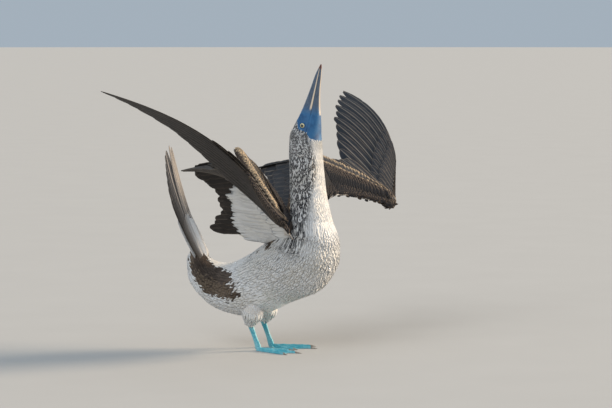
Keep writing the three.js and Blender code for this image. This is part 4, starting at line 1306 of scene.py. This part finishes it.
def toe_direction(degrees):
    turn = math.radians(degrees)
    return np.array([math.cos(turn), math.sin(turn), 0.0])


def ridge(degrees, distances, halves, heights, lift=0.0, arcs=12):
    """A toe or claw on the floor, from rows of distance, half width and height."""
    forward = toe_direction(degrees)
    side = np.array([-forward[1], forward[0], 0])
    angle = np.linspace(0, math.pi, arcs + 1)
    centre = ANKLE * (1, 1, 0) + forward * distances[:, None]
    ring = centre[:, None] + side * (halves[:, None] * np.cos(angle))[..., None]
    ring[..., 2] = lift + heights[:, None] * np.sin(angle)
    return tube(ring)


def toe(degrees, length, radius):
    """A toe with three swollen joints."""
    t = np.linspace(0, 1, 60)
    joints = sum(np.exp(-(((t - at) / 0.045) ** 2)) for at in (0.32, 0.56, 0.78))
    half = radius * (1 - 0.4 * t) * (1 + 0.12 * joints) * (1 + 0.02 * np.sin(t * length * 2.6))
    half = half * np.sqrt(1 - np.clip((t - 0.95) / 0.06, 0, 0.96) ** 2)
    return ridge(degrees, t * length, half, 1.5 * half)


def claw(degrees, length, reach, width):
    """A claw at the end of a toe of some length."""
    t = np.linspace(0, 1, 16)
    half = width * (1 - 0.85 * t**1.4)
    return ridge(degrees, length - CLAW_ROOT + t * (reach + CLAW_ROOT), half, 2.1 * half, 0.1, 8)


def web(first, second, pull):
    """The skin between two toes, hollowed at its free edge and folded a little along the toes."""
    root = ANKLE[:2]
    ends = [root + toe_direction(one[0])[:2] * (one[1] - 3) for one in (first, second)]
    bend = root + (ends[0] + ends[1] - 2 * root) * 0.5 * pull
    t = np.linspace(0, 1, 40)[None, :, None]
    edge = (1 - t) ** 2 * ends[0] + 2 * t * (1 - t) * bend + t * t * ends[1]
    r = np.linspace(0.02, 1, 40)[:, None, None]
    near_toe = np.abs(2 * t - 1) ** 3
    folds = 0.22 * np.sin(t * 22 + 2 * r) * r * (1 - near_toe)
    top = 1.25 + 1.3 * near_toe * (1 - 0.5 * r) + folds
    surface = np.concatenate([root + r * (edge - root), top], -1)
    sole = surface * (1, 1, 0) + (0, 0, 0.05)
    return tube(np.concatenate([surface, sole[:, ::-1]], 1))


def leg_parts():
    """Shank, toes and webs of the left leg as closed skins that run into one another."""
    down = unit(ANKLE - HEEL)
    stops = [(*(HEEL + down * way), radius) for way, radius in SHANK]
    stops += [(*(ANKLE - down * 1), 5.4), (*(ANKLE + (1.0, 0, -5.0)), 5.2)]
    toes = list(TOES.values())
    parts = [limb(stops, sides=24, flatten=0.8)]
    parts += [toe(*one[:3]) for one in toes]
    parts += [web(first, second, pull) for first, second, pull in zip(toes, toes[1:], WEB_PULLS)]
    return parts


def make_leg(side):
    """A shank and its webbed foot, melted into one skin, and the four claws."""
    tag = "l" if side > 0 else "r"

    def placed(name, parts, material, nodes=()):
        points, *faces = joined(parts)
        faces = [group if side > 0 else group[:, ::-1] for group in faces]
        return mesh_piece(name + tag, points * (1, side, 1), faces, [material], nodes)

    skin = leg_material(tag)
    piece = placed("leg_", leg_parts(), skin, ["shank_" + tag, "foot_" + tag])
    fused = piece.modifiers.new("Fused", "REMESH")
    fused.mode = "VOXEL"
    fused.voxel_size = LEG_VOXEL * MM
    fused.use_smooth_shade = True
    eased = piece.modifiers.new("Eased", "SMOOTH")
    eased.factor = 0.5
    eased.iterations = 3
    whole = bpy.data.meshes.new_from_object(piece.evaluated_get(bpy.context.evaluated_depsgraph_get()))
    piece.modifiers.clear()
    piece.data = whole
    whole.materials.clear()
    whole.materials.append(skin)
    claws = [claw(degrees, length, reach, width) for degrees, length, _, reach, width in TOES.values()]
    placed("claws_", claws, claw_material())


def barbs(shader, across, along, distance, strength):
    """The fine slanting lines of a vane, as a bump."""
    line = (along * 160.0 - (across - 0.5).abs() * 60.0).sine()
    shader.bump(line * 0.5 + 0.5, distance, strength)


def coat_material(name):
    """Small feathers: white or brown, with dark streaks on the neck and pale tips on the back, and painted
    sunlight in the pale tip colour on each wing's arm.
    """
    look = bpy.context.scene.booby
    shader = Shader(name, Roughness=0.85, Specular_IOR_Level=0.15)
    across, along = shader.map_axes("Vane")
    off_middle = (across - 0.5).abs() * 2.0
    patchy = shader.mottle(22.0)
    white = shader.mix(patchy, look.white, look.cream)
    brown = shader.mix(patchy, look.brown, look.dark_brown)
    colour = shader.mix(shader.attribute("dark"), white, brown)
    middle = (1.0 - off_middle.between(0.5, 0.85)) * (1.0 - along.between(0.78, 0.94))
    colour = shader.mix(middle * shader.attribute("streak"), colour, look.streak)
    # Pale tips, and on the wings' arms painted sunlight in the same colour.
    tips = along.between(0.66, 0.9) * shader.attribute("tipped")
    colour = shader.mix(tips, colour, look.tip)
    shader.use("Base Color", shader.tint(colour, shader.attribute("tone") * 0.1 + 0.93))
    barbs(shader, across, along, 0.0003, 0.15)
    return shader.material


def flight_material(name):
    """Long feathers: blackish to white, with pale edges and shafts, and a painted blue sky reflection on the
    dark upper side.
    """
    look = bpy.context.scene.booby
    shader = Shader(name, Roughness=0.55, Specular_IOR_Level=0.25)
    across, along = shader.map_axes("Vane")
    off_middle = (across - 0.5).abs() * 2.0
    under = shader.attribute("under")
    # The dark upper side is tinted blue, a painted reflection of the sky; the under side is a dark brown.
    dark = shader.mix(under, look.flight, look.flight_under)
    mottle = shader.noise(60.0, 4.0).between(0.35, 0.75)
    dark = shader.mix(mottle * 0.15, dark, look.brown)
    pale = shader.attribute("pale")
    grey = shader.mix((pale * 2.0).clipped(), dark, look.grey)
    colour = shader.mix((pale * 2.0 - 1.0).clipped(), grey, look.white)
    rim = off_middle.between(0.78, 0.98).most(along.between(0.95, 0.995) * 0.7)
    colour = shader.mix(rim * shader.attribute("edge") * (1.0 - under * 0.6), colour, look.tip)
    shaft = 1.0 - off_middle.between(0.03, 0.1)
    colour = shader.mix(shaft * shader.attribute("quill") * (1.0 - under * 0.6), colour, look.quill)
    shader.use("Base Color", shader.tint(colour, shader.attribute("tone") * 0.2 + 0.9))
    barbs(shader, across, along, 0.0004, 0.4)
    return shader.material


def face_material():
    """Blue skin at the height of the face, and below it a pale or brown skin as the coat over it is."""
    look = bpy.context.scene.booby
    shader = Shader("face_skin", Roughness=0.6, Specular_IOR_Level=0.35)
    broad = shader.mottle(90.0)
    colour = shader.mix(broad, look.face, look.face_dark)
    height = shader.axes(shader.place())[2]
    low, high = FACE_FLOOR * MM, (FACE_FLOOR + FACE_BLEND) * MM
    covered = shader.mix(shader.attribute("dark"), look.under_skin, look.dark_brown)
    colour = shader.mix(height.between(low, high), covered, colour)
    shader.use("Base Color", colour)
    shader.bump(shader.noise(1400.0, 2.0) * 0.6 + shader.cells(900.0) * 0.4, 0.0004, 0.5)
    return shader.material


def bill_material(upper):
    """Horn of the bill: blue grey, with a cream cutting edge above, a painted cream rim of sunlight along the
    lower half's underside, and a brownish tip.
    """
    look = bpy.context.scene.booby
    shader = Shader("bill_upper" if upper else "bill_lower", Roughness=0.36, Specular_IOR_Level=0.5)
    edge, along = shader.map_axes("Vane")
    streaks = shader.noise(1.0, 3.0, shader.scaled(shader.place(), (900.0, 900.0, 90.0)))
    horn = shader.mix(streaks.between(0.35, 0.7), look.horn, look.horn_dark)
    horn = shader.mix(1.0 - along.between(0.04, 0.3), horn, look.face)
    if upper:
        rim = edge.between(0.84, 0.89) * along.between(0.14, 0.22)
        horn = shader.mix(rim, horn, look.bill_edge_and_lit_rim)
        horn = shader.mix(edge.between(0.985, 0.997), horn, look.horn_dark)
    else:
        # Painted rim light: the lower half's underside is painted pale cream, as if the low sun lit it.
        front = (1.0 - edge.between(0.1, 0.3)) * 0.7
        horn = shader.mix(front, horn, look.bill_edge_and_lit_rim)
    horn = shader.mix(along.between(0.72, 0.84), horn, look.bill_tip)
    shader.use("Base Color", horn)
    shader.bump(streaks, 0.0004, 0.35)
    return shader.material


def eye_material():
    """A pale yellow iris round a black pupil, under a clear gloss."""
    look = bpy.context.scene.booby
    shader = Shader("eye_glaze", Roughness=0.15, Coat_Weight=1.0, Coat_Roughness=0.02)
    pupil = look.pupil / MM
    away = shader.attribute("from_axis")
    fibres = shader.noise(2600.0, 3.0).between(0.3, 0.7)
    iris = shader.mix(fibres, look.iris, look.iris_deep)
    inner = 1.0 - away.between(pupil, pupil + 0.5)
    iris = shader.mix(inner * 0.5, iris, look.iris_deep)
    colour = shader.mix(away.between(3.9, 4.3), iris, EYE_RIM)
    hole = 1.0 - away.between(pupil - 0.1, pupil + 0.08)
    shader.use("Base Color", shader.mix(hole, colour, PUPIL_BLACK))
    return shader.material


def leg_material(tag):
    """The turquoise skin of legs and webs, in small scales."""
    look = bpy.context.scene.booby
    shader = Shader("blue_skin_" + tag, Roughness=0.45, Specular_IOR_Level=0.45)
    broad = shader.mottle(70.0)
    colour = shader.mix(broad, look.leg, look.leg_pale)
    scales = shader.cells(620.0)
    colour = shader.mix(scales.between(0.45, 0.8) * 0.5, colour, look.leg_dark)
    shader.use("Base Color", colour)
    shader.bump(1.0 - scales, 0.0006, 0.6)
    return shader.material


def claw_material():
    """Horn of the claws, in two browns."""
    shader = Shader("claw", Roughness=0.35)
    grain = shader.noise(300.0, 2.0).between(0.3, 0.7)
    shader.use("Base Color", shader.mix(grain, (0.42, 0.36, 0.3), (0.2, 0.17, 0.15)))
    return shader.material


def floor_material():
    """A plain pale grey."""
    shader = Shader("pale_floor", Roughness=0.9)
    grain = shader.noise(6.0, 2.0)
    shader.use("Base Color", shader.mix(grain, (0.47, 0.47, 0.46), (0.5, 0.5, 0.49)))
    return shader.material


def view_axes():
    """To the right and away along the floor as the camera sees them, and the way the camera looks."""
    right = Vector((math.cos(VIEW_TURN), math.sin(VIEW_TURN), 0))
    away = Vector((-math.sin(VIEW_TURN), math.cos(VIEW_TURN), 0))
    look = away * math.cos(VIEW_RISE) - Vector((0, 0, math.sin(VIEW_RISE)))
    return right, away, look


def make_camera():
    """The camera that sees the bird as the photograph does."""
    _, _, look = view_axes()
    target = Vector((np.array(VIEW_TARGET) + ORIGIN) * MM)
    data = bpy.data.cameras.new("camera")
    data.sensor_width = SENSOR
    data.lens = SENSOR * VIEW_DISTANCE / (MM_PER_PIXEL * MM) / IMAGE_WIDTH
    camera = bpy.data.objects.new("camera", data)
    camera.location = target - look * VIEW_DISTANCE
    camera.rotation_euler = look.to_track_quat("-Z", "Y").to_euler()
    bpy.context.scene.collection.objects.link(camera)
    bpy.context.scene.camera = camera


def make_floor():
    """A pale floor, wide enough to reach the horizon from every side."""
    corners = [2 * math.pi * k / FLOOR_SIDES for k in range(FLOOR_SIDES)]
    points = [(FLOOR_RADIUS * math.cos(turn), FLOOR_RADIUS * math.sin(turn), 0) for turn in corners]
    mesh = bpy.data.meshes.new("floor")
    mesh.from_pydata(points, [], [range(FLOOR_SIDES)])
    mesh.materials.append(floor_material())
    floor = bpy.data.objects.new("floor", mesh)
    bpy.context.scene.collection.objects.link(floor)


def make_lamp(name, direction, width, power, colour):
    """A far lamp, as wide in the sky as so many degrees."""
    right, away, _ = view_axes()
    data = bpy.data.lights.new(name, "SUN")
    data.angle = math.radians(width)
    data.energy = power
    data.color = colour
    lamp = bpy.data.objects.new(name, data)
    lamp.location = right * direction[0] + away * direction[1] + Vector((0, 0, direction[2]))
    lamp.rotation_euler = (-lamp.location).to_track_quat("-Z", "Y").to_euler()
    bpy.context.scene.collection.objects.link(lamp)


def make_world(strength):
    """An even pale blue light from all round."""
    world = bpy.data.worlds.new("soft_room")
    world.use_nodes = True
    background = world.node_tree.nodes["Background"]
    background.inputs["Color"].default_value = SKY_COLOUR
    background.inputs["Strength"].default_value = strength
    bpy.context.scene.world = world


def make_stage():
    """Floor, lamps, sky and camera."""
    light = bpy.context.scene.booby.light
    make_floor()
    for name, (direction, width, power, colour) in LAMPS.items():
        make_lamp(name, direction, width, power * light, colour)
    make_world(SKY_POWER * light)
    make_camera()
    bpy.context.scene.view_settings.view_transform = "Standard"


def colour_property(name, note, value):
    return FloatVectorProperty(
        name=name, description=note, subtype="COLOR", size=3, min=0.0, max=1.0, default=value
    )


class BoobySettings(bpy.types.PropertyGroup):
    """The colours, the size of the pupils and the light that the pieces are made with."""

    white: colour_property("White", "Clean white feathers", (0.8, 0.81, 0.82))
    cream: colour_property("Cream", "White feathers where they are a little stained", (0.78, 0.77, 0.74))
    brown: colour_property("Brown", "Brown feathers of back and wings", (0.12, 0.095, 0.08))
    dark_brown: colour_property("Dark brown", "The darkest small feathers", (0.055, 0.042, 0.035))
    streak: colour_property("Streaks", "Dark middles of the neck feathers", (0.03, 0.031, 0.036))
    # The tip colour also paints sunlight on the upper side of each wing's arm.
    tip: colour_property("Tips", "Pale tips and edges of brown feathers", (0.55, 0.42, 0.28))
    # The blue cast of this colour is a painted reflection of the sky.
    flight: colour_property("Flight feathers", "Upper side of the long wing feathers", (0.014, 0.019, 0.028))
    flight_under: colour_property("Under wing", "Under side of the long wing feathers", (0.014, 0.011, 0.01))
    grey: colour_property("Grey", "Half pale feathers", (0.3, 0.28, 0.27))
    quill: colour_property("Quills", "Shafts of the long feathers", (0.6, 0.52, 0.42))
    face: colour_property("Face", "Bare skin of the face", (0.035, 0.15, 0.33))
    face_dark: colour_property("Face shade", "Darker mottles of the face", (0.02, 0.09, 0.22))
    under_skin: colour_property("Covered skin", "Skin under the feathers", (0.66, 0.62, 0.58))
    horn: colour_property("Bill", "Horn of the bill", (0.11, 0.15, 0.21))
    horn_dark: colour_property("Bill shade", "Darker lines in the horn", (0.05, 0.075, 0.12))
    # This cream is also the painted rim of sunlight under the lower half of the bill.
    bill_edge_and_lit_rim: colour_property("Bill edge", "Cutting edge of the bill", (0.8, 0.66, 0.5))
    bill_tip: colour_property("Bill tip", "Tip of the bill", (0.13, 0.04, 0.025))
    iris: colour_property("Iris", "Iris of the eye", (0.85, 0.8, 0.5))
    iris_deep: colour_property("Iris shade", "Darker fibres of the iris", (0.6, 0.52, 0.25))
    leg: colour_property("Legs", "Skin of legs and webs", (0.07, 0.45, 0.56))
    leg_pale: colour_property("Pale leg skin", "Paler mottles of legs and webs", (0.25, 0.62, 0.7))
    leg_dark: colour_property("Dark leg skin", "Lines between the scales", (0.015, 0.22, 0.32))
    pupil: FloatProperty(
        name="Pupil",
        description="Radius of the pupil",
        default=PUPIL_RADIUS * MM,
        min=0.001,
        max=0.0038,
        precision=5,
        unit="LENGTH",
    )
    light: FloatProperty(
        name="Light",
        description="Strength of all the lamps",
        default=1.0,
        min=0.0,
        max=10.0,
    )


class BOOBY_OT_skin(bpy.types.Operator):
    """Make the skin of body, wings and thighs, which the feathers stand on"""

    bl_idname = "booby.skin"
    bl_label = "Skin"

    def execute(self, context):
        make_skin()
        return {"FINISHED"}


class BOOBY_OT_coat(bpy.types.Operator):
    """Make the small feathers of trunk, neck, head, thighs and wings"""

    bl_idname = "booby.coat"
    bl_label = "Small feathers"

    def execute(self, context):
        make_body_coat()
        make_thigh_coat()
        for side in "lr":
            wing_coat(side)
        return {"FINISHED"}


class BOOBY_OT_wings(bpy.types.Operator):
    """Make the long feathers of both wings"""

    bl_idname = "booby.wings"
    bl_label = "Wing feathers"

    def execute(self, context):
        for side in "lr":
            make_wing(side)
        return {"FINISHED"}


class BOOBY_OT_tail(bpy.types.Operator):
    """Make the feathers of the tail and their coverts"""

    bl_idname = "booby.tail"
    bl_label = "Tail feathers"

    def execute(self, context):
        make_tail()
        return {"FINISHED"}


class BOOBY_OT_bill(bpy.types.Operator):
    """Make both halves of the bill"""

    bl_idname = "booby.bill"
    bl_label = "Bill"

    def execute(self, context):
        for upper in (True, False):
            make_bill(upper)
        return {"FINISHED"}


class BOOBY_OT_eyes(bpy.types.Operator):
    """Make both eyes"""

    bl_idname = "booby.eyes"
    bl_label = "Eyes"

    def execute(self, context):
        for side in (1, -1):
            make_eye(side)
        return {"FINISHED"}


class BOOBY_OT_legs(bpy.types.Operator):
    """Make both shanks, webbed feet and their claws"""

    bl_idname = "booby.legs"
    bl_label = "Legs and feet"

    def execute(self, context):
        for side in (1, -1):
            make_leg(side)
        return {"FINISHED"}


class BOOBY_OT_stage(bpy.types.Operator):
    """Make the floor, the lamps and the camera"""

    bl_idname = "booby.stage"
    bl_label = "Stage"

    def execute(self, context):
        make_stage()
        return {"FINISHED"}


OPERATORS = (
    BOOBY_OT_skin,
    BOOBY_OT_coat,
    BOOBY_OT_wings,
    BOOBY_OT_tail,
    BOOBY_OT_bill,
    BOOBY_OT_eyes,
    BOOBY_OT_legs,
    BOOBY_OT_stage,
)


class BOOBY_PT_panel(bpy.types.Panel):
    """The booby's pieces and settings"""

    bl_idname = "BOOBY_PT_panel"
    bl_label = "Sky-pointing Booby"
    bl_space_type = "VIEW_3D"
    bl_region_type = "UI"
    bl_category = "Booby"

    def draw(self, context):
        for operator in OPERATORS:
            self.layout.operator(operator.bl_idname)
        for name in BoobySettings.__annotations__:
            self.layout.prop(context.scene.booby, name)


def register():
    for cls in (BoobySettings, *OPERATORS, BOOBY_PT_panel):
        bpy.utils.register_class(cls)
    bpy.types.Scene.booby = PointerProperty(type=BoobySettings)


def unregister():
    del bpy.types.Scene.booby
    for cls in reversed((BoobySettings, *OPERATORS, BOOBY_PT_panel)):
        bpy.utils.unregister_class(cls)


def main():
    """Makes every piece in turn."""
    register()
    for operator in OPERATORS:
        group, name = operator.bl_idname.split(".")
        getattr(getattr(bpy.ops, group), name)()


if __name__ == "__main__":
    main()
